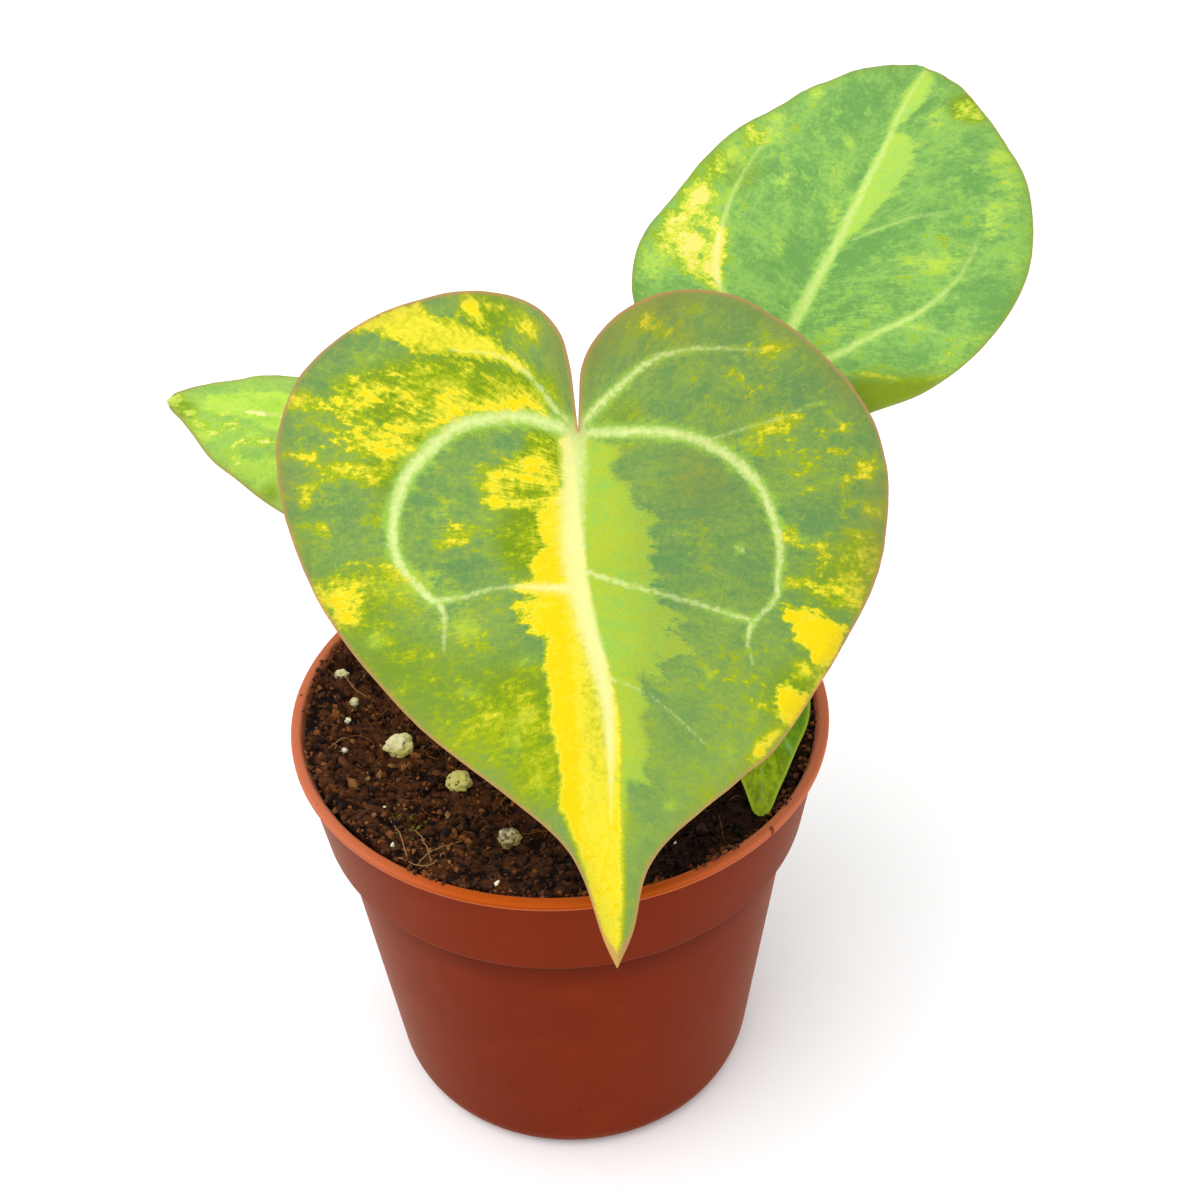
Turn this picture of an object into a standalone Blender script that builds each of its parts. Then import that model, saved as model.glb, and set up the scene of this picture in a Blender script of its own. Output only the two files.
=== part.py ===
"""Potted anthurium: a young velvet-leaved plant in a small round nursery pot.

Metres, +Z up. The origin is the middle of the pot's base, and the pot's front is -Y.
The plant has four leaves on separate stalks that rise from one short stem, with
roots in the substrate below. Every piece is its own closed solid, and neighbours
that touch on the real plant keep a gap of SEAT.
"""

import math
import random
from dataclasses import dataclass

import bmesh
import bpy
import numpy as np
from mathutils import Vector, noise

MM = 0.001
SEAT = 0.3 * MM

# Pot
POT_HEIGHT = 52 * MM
LIP_RADIUS = 30 * MM
LIP_DEPTH = 1.0 * MM
LIP_OVERHANG = 0.7 * MM
COLLAR_HEIGHT = 12.4 * MM
COLLAR_TAPER = 1.6 * MM
STEP_WIDTH = 1.5 * MM
BASE_RADIUS = 21.9 * MM
BASE_CORNER = 2.0 * MM
WALL = 0.8 * MM
FLOOR = 1.8 * MM
ROUND_SIDES = 48

# Drainage under the pot
CHANNELS = 4
CHANNEL_WIDTH = 10 * MM
CHANNEL_DEPTH = 0.8 * MM
CHANNEL_START = 10 * MM
DRAIN_RADIUS = 2.2 * MM
DRAIN_CIRCLE = 15 * MM

# Substrate
SOIL_LEVEL = 50.3 * MM
SOIL_RELIEF = 0.45 * MM
SOIL_RINGS = 13

# Stem and roots
STEM_RADIUS = 4.3 * MM
STEM_TOP = 53 * MM
STEM_FOOT = 39 * MM
ROOTS = 6
ROOT_RADIUS = 1.1 * MM
ROOT_TIP_RADIUS = 0.6 * MM
ROOT_REACH = 14 * MM
ROOT_DROP = 24 * MM

# Leaf stalks
STALK_RING = 2.7 * MM
STALK_FOOT_RADIUS = 1.3 * MM
STALK_RADIUS = 0.95 * MM
STALK_KNEE_RADIUS = 1.2 * MM
STALK_SIDES = 8
STALK_STEPS = 14

# Leaf blades
BLADE = 0.65 * MM
RIB_DEPTH = 0.8 * MM
RIB_WIDTH = 1.0 * MM
RIB_START = 2.0 * MM
GROOVE = 0.3 * MM
BLADE_ROWS = (0.0, 0.06, 0.3, 0.54, 0.78, 1.0)

# Dry sheaths at the crown
SHEATH_THICKNESS = 0.6 * MM
SHEATH_HEIGHT = 9 * MM

# Perlite seen at the surface: across, over and size, in millimetres
PERLITE_SEEN = (
    (-17.6, -5.0, 3.7),
    (-10.8, -10.5, 3.3),
    (-5.4, -19.4, 2.9),
    (-25.4, 7.9, 1.8),
    (-23.5, 3.4, 1.4),
)
PERLITE_STREWN = 6
PERLITE_SIZES = (1.5 * MM, 3.2 * MM)
STREW_SEED = 11


@dataclass
class Leaf:
    """One leaf: where its blade starts and ends, how it bends, and its outline.

    The outline points are (across, along) in millimetres on the flattened blade,
    from the notch where the stalk joins, round the lobe and down to the tip.
    """

    name: str
    notch: tuple
    tip: tuple
    droop: float
    arch: float
    roll: float
    wave: float
    columns: int
    right: list
    left: list
    foot_angle: float
    stalk_end: tuple
    stalk_scale: float


FRONT = Leaf(
    name="front",
    notch=(3.3, -6.0, 92.3),
    tip=(5.4, -37.0, 50.7),
    droop=22,
    arch=75,
    roll=0,
    wave=0.35,
    columns=42,
    right=[
        (0, 0), (0.3, -3), (0.75, -6), (2.2, -8.7), (5, -11.4), (9, -13.3), (13.5, -13.8),
        (18.2, -12.6), (23, -9.3), (28, -4.2), (31.1, 1.5), (31.5, 8), (29.3, 15.3),
        (24.9, 22), (17.4, 31), (10.2, 36.2), (5.7, 39), (3.5, 43.5), (1.7, 49), (0, 52.3),
    ],
    left=[
        (0, 0), (-0.15, -3), (-0.35, -6.5), (-1.2, -10), (-3.8, -13), (-8, -14.7), (-13, -15),
        (-20.5, -13.2), (-26.6, -9), (-30, -2.8), (-30, 4), (-28, 11), (-24.2, 18.5),
        (-17.4, 27.5), (-9.4, 34.5), (-4.8, 39), (-2.7, 43), (-1.2, 49), (0, 52.3),
    ],
    foot_angle=-92,
    stalk_end=(0.05, -0.55, 0.83),
    stalk_scale=1.1,
)

BACK = Leaf(
    name="back",
    notch=(22.9, 9.0, 88.8),
    tip=(42.2, 42.0, 108.0),
    droop=36,
    arch=60,
    roll=0,
    wave=0.5,
    columns=34,
    right=[
        (0, 0), (0.25, -2.5), (1.2, -5), (4, -6.8), (8.5, -6.6), (13.5, -3), (17.8, 3),
        (20.6, 8.6), (21.2, 14), (19.8, 19.7), (16.6, 27.5), (10.8, 36), (5.6, 40.4),
        (2, 42.8), (0, 43.8),
    ],
    left=[
        (0, 0), (-0.25, -2.2), (-1.2, -4), (-3.6, -5.1), (-7.5, -4.2), (-11.4, -1.3),
        (-16.3, 2.9), (-19.8, 8.8), (-21.4, 15.5), (-20.9, 22.2), (-17.7, 29.2),
        (-11.8, 35.8), (-6.2, 40.4), (-2.5, 42.6), (0, 43.8),
    ],
    foot_angle=50,
    stalk_end=(0.1, -0.05, 0.99),
    stalk_scale=1.0,
)

LEFT_NEAR = [
    (0, 0), (0.2, -2.4), (1.2, -4.8), (4.5, -6.6), (8.8, -6), (12.8, -2.6), (15.3, 2.6),
    (15.6, 9), (14.6, 15), (12.5, 20.5), (10.2, 24.5), (8.2, 27.7), (5, 30.6), (2.8, 32.6),
    (1.3, 34), (0, 34.6),
]

LEFT_FAR = [
    (0, 0), (-0.2, -2.4), (-1.2, -4.8), (-4.5, -6.6), (-8.8, -6), (-12.8, -2.6),
    (-15, 2.6), (-15, 9), (-13.2, 15), (-10.2, 20.5), (-7.6, 24.5), (-5.6, 28), (-4, 31),
    (-2.9, 33), (-1.5, 34.2), (0, 34.6),
]

LEFT = Leaf(
    name="left",
    notch=(-7.7, 14.0, 78.3),
    tip=(-41.9, 18.0, 82.3),
    droop=8,
    arch=20,
    roll=-4,
    wave=0.3,
    columns=30,
    right=LEFT_NEAR,
    left=LEFT_FAR,
    foot_angle=148,
    stalk_end=(-0.2, 0.1, 0.97),
    stalk_scale=0.9,
)

SMALL_HALF = [
    (0, 0), (0.2, -1), (1.2, -2.2), (2.9, -1.6), (4.3, 1.5), (4.9, 5.5), (4.8, 9.5),
    (3.4, 13.2), (1.9, 16.6), (0.9, 19.2), (0, 19.9),
]

SMALL = Leaf(
    name="small",
    notch=(22.0, -5.0, 66.0),
    tip=(21.0, -18.0, 51.4),
    droop=25,
    arch=20,
    roll=0,
    wave=0.15,
    columns=18,
    right=SMALL_HALF,
    left=[(-across, along) for across, along in SMALL_HALF],
    foot_angle=-18,
    stalk_end=(0.45, -0.35, 0.82),
    stalk_scale=0.62,
)

LEAVES = (FRONT, BACK, LEFT, SMALL)


def clear_scene():
    for obj in list(bpy.data.objects):
        bpy.data.objects.remove(obj, do_unlink=True)


def material(name, colour, roughness):
    made = bpy.data.materials.new(name)
    made.use_nodes = True
    shader = made.node_tree.nodes["Principled BSDF"]
    shader.inputs["Base Color"].default_value = (*colour, 1.0)
    shader.inputs["Roughness"].default_value = roughness
    shader.inputs["Metallic"].default_value = 0.0
    return made


def add_object(name, mesh, finish=None, smooth=None):
    """A new object for the mesh, with its finish, shaded smooth below an edge angle."""
    if finish:
        mesh.materials.append(finish)
    if smooth:
        mesh.shade_smooth()
        mesh.set_sharp_from_angle(angle=math.radians(smooth))
    obj = bpy.data.objects.new(name, mesh)
    bpy.context.scene.collection.objects.link(obj)
    return obj


def mesh_of(name, points, faces):
    mesh = bpy.data.meshes.new(name)
    mesh.from_pydata([tuple(p) for p in points], [], [tuple(f) for f in faces])
    mesh.update()
    return mesh


def hide_cutter(obj):
    obj.hide_render = True
    obj.display_type = "WIRE"
    return obj


def applied(obj):
    """Gives the object the mesh that its modifiers make, and drops them."""
    graph = bpy.context.evaluated_depsgraph_get()
    mesh = bpy.data.meshes.new_from_object(obj.evaluated_get(graph))
    obj.modifiers.clear()
    obj.data = mesh
    return obj


def boolean(obj, operation, pieces):
    """A Boolean with a collection of pieces."""
    group = bpy.data.collections.new(f"{obj.name} {operation.lower()}")
    bpy.context.scene.collection.children.link(group)
    for piece in pieces:
        for home in list(piece.users_collection):
            home.objects.unlink(piece)
        group.objects.link(piece)
    modifier = obj.modifiers.new(operation.lower(), "BOOLEAN")
    modifier.operation = operation
    modifier.operand_type = "COLLECTION"
    modifier.collection = group
    modifier.solver = "EXACT"


def unit(vector):
    return np.array(vector, float) / np.linalg.norm(vector)


def smooth_curve(points, count):
    """A Catmull-Rom curve through the points, read at even steps of its length."""
    points = np.array(points, float)
    first = 2 * points[0] - points[1]
    last = 2 * points[-1] - points[-2]
    padded = np.vstack([first, points, last])
    t = np.linspace(0, 1, 12, endpoint=False)[:, None]
    spans = []
    for a, b, c, d in zip(padded, padded[1:], padded[2:], padded[3:]):
        curve = 2 * b + (c - a) * t + (2 * a - 5 * b + 4 * c - d) * t**2
        spans.append(0.5 * (curve + (3 * b - a - 3 * c + d) * t**3))
    fine = np.vstack([*spans, points[-1:]])
    gaps = np.linalg.norm(np.diff(fine, axis=0), axis=1)
    length = np.concatenate([[0], np.cumsum(gaps)])
    even = np.linspace(0, length[-1], count)
    return np.stack([np.interp(even, length, axis) for axis in fine.T], axis=1)


def turned_mesh(name, rings, sides=ROUND_SIDES):
    """A solid of revolution from rings of (radius, height), closed on the axis at both ends."""
    angles = np.arange(sides) * math.tau / sides
    points = []
    for radius, height in rings:
        points += [(radius * math.cos(a), radius * math.sin(a), height) for a in angles]
    faces = []
    for ring in range(len(rings) - 1):
        for side in range(sides):
            after = (side + 1) % sides
            low = ring * sides
            high = low + sides
            faces.append((low + side, low + after, high + after, high + side))
    top = (len(rings) - 1) * sides
    faces.append(tuple(range(sides))[::-1])
    faces.append(tuple(range(top, top + sides)))
    return mesh_of(name, points, faces)


def tube_mesh(name, path, radii, sides):
    """A tube of changing radius along a path, with a flat cap at each end."""
    path = np.array(path)
    ahead = np.gradient(path, axis=0)
    ahead /= np.linalg.norm(ahead, axis=1)[:, None]
    across = unit(np.cross(ahead[0], (0.3, 1.0, 0.1)))
    points = []
    for place, way, radius in zip(path, ahead, radii):
        across = unit(across - way * (across @ way))
        over = np.cross(way, across)
        for angle in np.arange(sides) * math.tau / sides:
            points.append(place + radius * (math.cos(angle) * across + math.sin(angle) * over))
    faces = []
    for ring in range(len(path) - 1):
        for side in range(sides):
            after = (side + 1) % sides
            low = ring * sides
            high = low + sides
            faces.append((low + side, low + after, high + after, high + side))
    last = (len(path) - 1) * sides
    faces.append(tuple(range(sides))[::-1])
    faces.append(tuple(range(last, last + sides)))
    return mesh_of(name, points, faces)


def pot_profile():
    """The pot's closed section as (radius, height), down the outside and up the inside."""
    collar_top = LIP_RADIUS - LIP_OVERHANG
    collar_foot = collar_top - COLLAR_TAPER
    step = POT_HEIGHT - COLLAR_HEIGHT
    body_top = collar_foot - STEP_WIDTH
    edge = 0.35 * MM
    outside = [
        (LIP_RADIUS - edge, POT_HEIGHT),
        (LIP_RADIUS, POT_HEIGHT - edge),
        (LIP_RADIUS, POT_HEIGHT - LIP_DEPTH + edge / 2),
        (LIP_RADIUS - edge, POT_HEIGHT - LIP_DEPTH),
        (collar_top, POT_HEIGHT - LIP_DEPTH - edge / 2),
        (collar_foot, step + edge),
        (collar_foot - edge, step),
        (body_top + edge, step - edge),
        (body_top, step - 2 * edge),
        (BASE_RADIUS, BASE_CORNER),
        (BASE_RADIUS - 0.3 * BASE_CORNER, 0.35 * BASE_CORNER),
        (BASE_RADIUS - BASE_CORNER, 0),
        (0, 0),
    ]
    inside = [
        (0, FLOOR),
        (BASE_RADIUS - WALL - 0.6 * MM, FLOOR),
        (BASE_RADIUS - WALL, FLOOR + 0.6 * MM),
        (body_top - WALL, step - WALL),
        (collar_foot - WALL, step + edge),
        (collar_top - WALL, POT_HEIGHT - LIP_DEPTH),
        (collar_top - WALL + edge, POT_HEIGHT),
    ]
    return outside, inside


def make_pot(finish):
    """The thin-walled pot with its lip and stacking collar, drained through its floor."""
    outside, inside = pot_profile()
    section = bmesh.new()
    corners = [section.verts.new((radius, 0, height)) for radius, height in outside + inside]
    for first, second in zip(corners, corners[1:] + corners[:1]):
        if first.co.x > 0 or second.co.x > 0:
            section.edges.new((first, second))
    mesh = bpy.data.meshes.new("pot")
    section.to_mesh(mesh)
    section.free()
    pot = add_object("pot", mesh, finish)
    screw = pot.modifiers.new("turn", "SCREW")
    screw.steps = ROUND_SIDES
    screw.render_steps = ROUND_SIDES
    screw.use_merge_vertices = True
    screw.merge_threshold = 0.01 * MM
    applied(pot)
    cutters = []
    for index in range(CHANNELS):
        angle = -math.pi / 2 + index * math.tau / CHANNELS
        cutters += drain_cutters(index, angle)
    boolean(pot, "DIFFERENCE", cutters)
    applied(pot)
    for cutter in cutters:
        bpy.data.objects.remove(cutter, do_unlink=True)
    pot.data.shade_smooth()
    pot.data.set_sharp_from_angle(angle=math.radians(35))
    return pot


def drain_cutters(index, angle):
    """One shallow channel under the floor, and the drain hole that opens into it."""
    length = LIP_RADIUS - CHANNEL_START
    channel = bmesh.new()
    bmesh.ops.create_cube(channel, size=1)
    bmesh.ops.scale(channel, verts=channel.verts, vec=(length, CHANNEL_WIDTH, 2 * CHANNEL_DEPTH))
    bmesh.ops.translate(channel, verts=channel.verts, vec=(CHANNEL_START + length / 2, 0, 0))
    hole = bmesh.new()
    bmesh.ops.create_cone(
        hole, cap_ends=True, segments=16, radius1=DRAIN_RADIUS, radius2=DRAIN_RADIUS,
        depth=4 * FLOOR,
    )
    bmesh.ops.translate(hole, verts=hole.verts, vec=(DRAIN_CIRCLE, 0, 0))
    made = []
    for kind, shape in (("channel", channel), ("drain", hole)):
        mesh = bpy.data.meshes.new(f"{kind}_{index}")
        shape.to_mesh(mesh)
        shape.free()
        cutter = hide_cutter(add_object(f"cutter_{kind}_{index}", mesh))
        cutter.rotation_euler.z = angle
        made.append(cutter)
    return made


def soil_height(x, y):
    """Level of the substrate: broad mounds with coarse crumbs on them."""
    place = Vector((x, y, 0)) / MM
    mounds = noise.noise(place / 9.0)
    crumbs = noise.noise(place / 3.2 + Vector((40, 0, 0)))
    return SOIL_LEVEL + SOIL_RELIEF * (0.8 * mounds + 0.9 * crumbs)


def make_soil(finish, cutters):
    """The substrate: the inside of the pot less a seat, with a crumbled top."""
    _, inside = pot_profile()
    wall = [(max(radius - SEAT, 0), height) for radius, height in inside[1:-1]]
    wall[0] = (wall[0][0], FLOOR + SEAT)
    top_radius = wall[-1][0] - 0.3 * MM
    wall[-1] = (top_radius, SOIL_LEVEL - SOIL_RELIEF)
    rings = [(radius, height, 0.0) for radius, height in wall]
    for ring in range(SOIL_RINGS, 0, -1):
        rings.append((top_radius * ring / SOIL_RINGS * 0.99, 0.0, 1.0))
    points = []
    for radius, height, on_top in rings:
        for angle in np.arange(ROUND_SIDES) * math.tau / ROUND_SIDES:
            x = radius * math.cos(angle)
            y = radius * math.sin(angle)
            points.append((x, y, soil_height(x, y) if on_top else height))
    faces = []
    for ring in range(len(rings) - 1):
        for side in range(ROUND_SIDES):
            after = (side + 1) % ROUND_SIDES
            low = ring * ROUND_SIDES
            high = low + ROUND_SIDES
            faces.append((low + side, low + after, high + after, high + side))
    last = (len(rings) - 1) * ROUND_SIDES
    centre = len(points)
    points.append((0, 0, soil_height(0, 0)))
    for side in range(ROUND_SIDES):
        faces.append((last + side, last + (side + 1) % ROUND_SIDES, centre))
    faces.append(tuple(range(ROUND_SIDES))[::-1])
    soil = add_object("soil", mesh_of("soil", points, faces), finish)
    boolean(soil, "DIFFERENCE", cutters)
    applied(soil)
    for cutter in cutters:
        bpy.data.objects.remove(cutter, do_unlink=True)
    return soil


def perlite_places():
    """Centres and sizes of the grains: those in sight, and others strewn at random."""
    places = [(x * MM, y * MM, size * MM) for x, y, size in PERLITE_SEEN]
    draw = random.Random(STREW_SEED)
    while len(places) < len(PERLITE_SEEN) + PERLITE_STREWN:
        angle = draw.uniform(-0.1 * math.pi, 0.8 * math.pi)
        reach = draw.uniform(9, 25) * MM
        size = draw.uniform(*PERLITE_SIZES)
        x = reach * math.cos(angle)
        y = reach * math.sin(angle)
        if all(math.dist((x, y), place[:2]) > 5 * MM for place in places):
            places.append((x, y, size))
    return places


def grain_mesh(name, index, place, extra):
    """A lumpy grain, half sunk. Extra thickness all round makes its pocket's cutter."""
    x, y, size = place
    shape = bmesh.new()
    bmesh.ops.create_icosphere(shape, subdivisions=2, radius=1)
    sink = soil_height(x, y) + 0.12 * size
    for vert in shape.verts:
        lump = noise.noise(vert.co * 1.3 + Vector((index * 7.1, 0, 0)))
        radius = size / 2 * (1 + 0.35 * lump) + extra
        vert.co = Vector((x, y, sink)) + Vector(
            (vert.co.x * radius, vert.co.y * radius, vert.co.z * radius * 0.85)
        )
    mesh = bpy.data.meshes.new(name)
    shape.to_mesh(mesh)
    shape.free()
    return mesh


def make_perlite(finish):
    """The grains, and a cutter for the pocket of each."""
    cutters = []
    for index, place in enumerate(perlite_places(), 1):
        name = f"perlite_{index:02d}"
        add_object(name, grain_mesh(name, index, place, 0), finish, smooth=60)
        pocket = grain_mesh(f"pocket_{index:02d}", index, place, SEAT * 1.2)
        cutters.append(hide_cutter(add_object(f"cutter_{name}", pocket)))
    return cutters


def root_path(index):
    """A root's centre line: out from the stem, then bending down with a slow wander."""
    turn = index * math.tau / ROOTS + 0.4
    t = np.linspace(0, 1, 11)
    out = 1.5 * MM + ROOT_REACH * (0.75 + 0.25 * math.cos(2.4 * index)) * np.sin(t * 1.5)
    side = 2.2 * MM * np.sin(t * 5 + index) * t
    drop = (ROOT_DROP + 3 * MM * math.sin(1.7 * index)) * t**1.6
    x = out * math.cos(turn) - side * math.sin(turn)
    y = out * math.sin(turn) + side * math.cos(turn)
    z = STEM_FOOT + (1.8 + 0.8 * (index % 3)) * MM - drop
    return np.stack([x, y, z], axis=1)


def root_system(name, extra):
    """The short stem with its roots, as one body. Extra thickness makes the soil's cutter."""
    top = STEM_TOP + (4 * MM if extra else 0)
    rings = [
        (0.55 * STEM_RADIUS + extra, STEM_FOOT - extra),
        (0.9 * STEM_RADIUS + extra, STEM_FOOT + 1.5 * MM),
        (STEM_RADIUS + extra, STEM_FOOT + 5 * MM),
        (0.94 * STEM_RADIUS + extra, STEM_FOOT + 7 * MM),
        (STEM_RADIUS + extra, STEM_FOOT + 9 * MM),
        (0.96 * STEM_RADIUS + extra, STEM_FOOT + 11 * MM),
        (STEM_RADIUS + extra, top - 0.5 * MM),
        (STEM_RADIUS - 0.2 * MM + extra, top),
    ]
    stem = add_object(name, turned_mesh(name, rings, 20))
    roots = []
    for index in range(ROOTS):
        path = root_path(index)
        if extra:
            path[-1] += unit(path[-1] - path[-2]) * extra
        radii = np.linspace(ROOT_RADIUS, ROOT_TIP_RADIUS, len(path)) + extra
        mesh = tube_mesh(f"root_{index}", path, radii, 6)
        roots.append(hide_cutter(add_object(f"{name}_root_{index}", mesh)))
    boolean(stem, "UNION", roots)
    applied(stem)
    for root in roots:
        bpy.data.objects.remove(root, do_unlink=True)
    return stem


class BladeFrame:
    """The bent surface a blade lies on, as a patch of a ring.

    The midrib is an arc that droops from the notch to the tip, and each cross
    section is an arc of radius arch that falls away from the midrib on both sides.
    """

    def __init__(self, leaf):
        notch = np.array(leaf.notch) * MM
        chord = np.array(leaf.tip) * MM - notch
        self.notch = notch
        along = unit(chord)
        across = unit(np.cross((0, 0, 1), along))
        up = np.cross(along, across)
        roll = math.radians(leaf.roll)
        self.across = math.cos(roll) * across + math.sin(roll) * up
        normal = math.cos(roll) * up - math.sin(roll) * across
        half = math.radians(leaf.droop) / 2
        self.length = np.linalg.norm(chord) * half / math.sin(half)
        self.curl = 2 * half / self.length
        self.along = math.cos(half) * along + math.sin(half) * normal
        self.normal = math.cos(half) * normal - math.sin(half) * along
        self.arch = leaf.arch * MM

    def place(self, u, v):
        """Points and upward normals for (across, along) distances on the blade."""
        turn = self.curl * v
        run = np.sin(turn) / self.curl
        sag = (1 - np.cos(turn)) / self.curl
        rib = self.notch + np.outer(run, self.along) - np.outer(sag, self.normal)
        rib_up = np.outer(np.cos(turn), self.normal) + np.outer(np.sin(turn), self.along)
        lean = (u / self.arch)[:, None]
        points = rib + self.arch * (np.sin(lean) * self.across - (1 - np.cos(lean)) * rib_up)
        normals = np.cos(lean) * rib_up + np.sin(lean) * self.across
        return points, normals


def blade_grid(leaf, frame):
    """The blade's flat grid, one half at a time.

    Column t runs from a foot on the midrib to the outline's point at t, so the
    columns fan out round the notch as the veins do. Row r is the share of the way.
    """
    t = np.linspace(0, 1, leaf.columns)
    foot = frame.length * (0.05 * t + 0.95 * t**2.7)
    rows = np.array(BLADE_ROWS)
    halves = []
    for outline in (leaf.right, leaf.left):
        edge = smooth_curve(outline, leaf.columns) * MM
        edge[-1] = (0, frame.length)
        u = rows[None, :] * edge[:, :1]
        v = foot[:, None] + rows[None, :] * (edge[:, 1:] - foot[:, None])
        wave = leaf.wave * MM * rows[None, :] ** 3 * np.sin(t * 24 + leaf.arch)[:, None]
        halves.append((u, v, wave * np.sin(t * math.pi)[:, None]))
    return halves


def blade_faces(columns, rows, flip):
    """Triangles of one half between neighbouring columns, each corner a (column, row)."""
    faces = []
    for column in range(columns - 1):
        for row in range(rows - 1):
            a = (column, row)
            b = (column + 1, row)
            c = (column + 1, row + 1)
            d = (column, row + 1)
            faces += [(a, b, c), (a, c, d)]
    return [face[::-1] for face in faces] if flip else faces


def make_blade(leaf, finish):
    """A thin blade, grooved along the midrib above and ribbed below.

    Both faces hold the same triangles, and a strip of quads closes the edge.
    """
    frame = BladeFrame(leaf)
    columns = leaf.columns
    rows = len(BLADE_ROWS)
    points = []
    number = {}
    above = []
    rim = []
    for side, (u, v, wave) in enumerate(blade_grid(leaf, frame)):
        surface, normals = frame.place(u.ravel(), v.ravel())
        near_rib = np.exp(-((u / RIB_WIDTH) ** 2)) * np.clip((v - RIB_START) / RIB_START, 0, 1)
        taper = 1 - np.clip(v / frame.length, 0, 1)
        top = surface + normals * (wave - GROOVE * near_rib * taper).reshape(-1, 1)
        under = surface + normals * (wave - BLADE - RIB_DEPTH * near_rib * taper).reshape(-1, 1)
        for column in range(columns):
            for row in range(rows):
                joined = row == 0 or column in (0, columns - 1)
                key = (0, column, 0) if joined else (side, column, row)
                if key not in number:
                    number[key] = len(points)
                    index = column * rows + (0 if joined else row)
                    points += [top[index], under[index]]
        for face in blade_faces(columns, rows, flip=side == 1):
            corners = []
            for column, row in face:
                joined = row == 0 or column in (0, columns - 1)
                corners.append(number[(0, column, 0) if joined else (side, column, row)])
            if len(set(corners)) == 3:
                above.append(tuple(corners))
        edge = [number[(0, 0, 0)]]
        edge += [number[(side, column, rows - 1)] for column in range(1, columns - 1)]
        edge.append(number[(0, columns - 1, 0)])
        rim.append(edge if side == 0 else edge[::-1])
    faces = list(above)
    faces += [tuple(corner + 1 for corner in face[::-1]) for face in above]
    for edge in rim:
        for first, second in zip(edge, edge[1:]):
            faces += [(first, second, second + 1), (first, second + 1, first + 1)]
    mesh = mesh_of(f"leaf_{leaf.name}", points, faces)
    return add_object(f"leaf_{leaf.name}", mesh, finish, smooth=50)


def make_stalk(leaf, finish):
    """A leaf stalk: stout at the stem, slim above, with a knee under the blade."""
    frame = BladeFrame(leaf)
    scale = leaf.stalk_scale
    turn = math.radians(leaf.foot_angle)
    foot = np.array([STALK_RING * math.cos(turn), STALK_RING * math.sin(turn), STEM_TOP + SEAT])
    way = unit(leaf.stalk_end)
    lean = math.acos(min(1.0, float(way @ frame.normal)))
    end_radius = STALK_KNEE_RADIUS * scale
    drop = BLADE + SEAT + end_radius * math.sin(lean)
    end = frame.notch + frame.along * 0.5 * MM - frame.normal * drop
    reach = np.linalg.norm(end - foot)
    first = foot + np.array([0, 0, 0.4 * reach])
    second = end - way * 0.35 * reach
    t = np.linspace(0, 1, STALK_STEPS)[:, None]
    path = (1 - t) ** 3 * foot + 3 * (1 - t) ** 2 * t * first
    path = path + 3 * (1 - t) * t**2 * second + t**3 * end
    t = t[:, 0]
    foot_swell = (STALK_FOOT_RADIUS - STALK_RADIUS * scale) * np.exp(-t * 9)
    knee_swell = (STALK_KNEE_RADIUS - STALK_RADIUS) * scale * np.exp(-(((1 - t) / 0.12) ** 2))
    radii = STALK_RADIUS * scale + foot_swell + knee_swell
    mesh = tube_mesh(f"stalk_{leaf.name}", path, radii, STALK_SIDES)
    return add_object(f"stalk_{leaf.name}", mesh, finish, smooth=60)


def make_sheath(name, facing, spread, height, finish):
    """A dry pointed sheath that clasps the stem's side and leans away at its tip."""
    t = np.linspace(0, 1, 7)
    s = np.linspace(-1, 1, 7)
    half = math.radians(spread) * np.sqrt(1 - 0.93 * t**1.6)
    level = SOIL_LEVEL + 1.1 * MM + height * t
    inner = STEM_RADIUS + SEAT + 1.2 * MM * t**2
    layers = []
    for radius in (inner + SHEATH_THICKNESS, inner):
        angle = math.radians(facing) + half[:, None] * s[None, :]
        x = radius[:, None] * np.cos(angle)
        y = radius[:, None] * np.sin(angle)
        z = np.repeat(level[:, None], len(s), axis=1)
        layers.append(np.stack([x, y, z], axis=2).reshape(-1, 3))
    points = np.vstack(layers)
    wide = len(s)
    count = wide * len(t)
    outer = []
    for row in range(len(t) - 1):
        for column in range(wide - 1):
            a = row * wide + column
            outer += [(a, a + 1, a + wide + 1), (a, a + wide + 1, a + wide)]
    bottom = list(range(wide))
    right = [row * wide + wide - 1 for row in range(len(t))]
    top = [count - 1 - step for step in range(wide)]
    left = [row * wide for row in reversed(range(len(t)))]
    loop = bottom + right[1:] + top[1:] + left[1:]
    faces = list(outer)
    faces += [tuple(corner + count for corner in face[::-1]) for face in outer]
    for first, second in zip(loop, loop[1:]):
        faces.append((second, first, first + count, second + count))
    return add_object(name, mesh_of(name, points, faces), finish, smooth=50)


def main():
    clear_scene()
    plastic = material("terracotta plastic", (0.30, 0.045, 0.014), 0.42)
    earth = material("substrate", (0.030, 0.011, 0.005), 0.95)
    white = material("perlite", (0.72, 0.70, 0.62), 0.9)
    bark = material("stem and root", (0.42, 0.30, 0.17), 0.75)
    stalk_green = material("leaf stalk", (0.22, 0.33, 0.08), 0.5)
    paper = material("dry sheath", (0.36, 0.20, 0.09), 0.8)
    make_pot(plastic)
    cutters = make_perlite(white)
    root_system("stem_and_roots", 0).data.materials.append(bark)
    cutters.append(hide_cutter(root_system("cutter_stem", SEAT)))
    make_soil(earth, cutters)
    for leaf in LEAVES:
        green = material(f"leaf {leaf.name}", (0.16, 0.32, 0.07), 0.5)
        make_blade(leaf, green)
        make_stalk(leaf, stalk_green)
    make_sheath("sheath_front", 207, 38, SHEATH_HEIGHT, paper)
    make_sheath("sheath_back", 100, 24, 0.7 * SHEATH_HEIGHT, paper)


if __name__ == "__main__":
    main()
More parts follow.
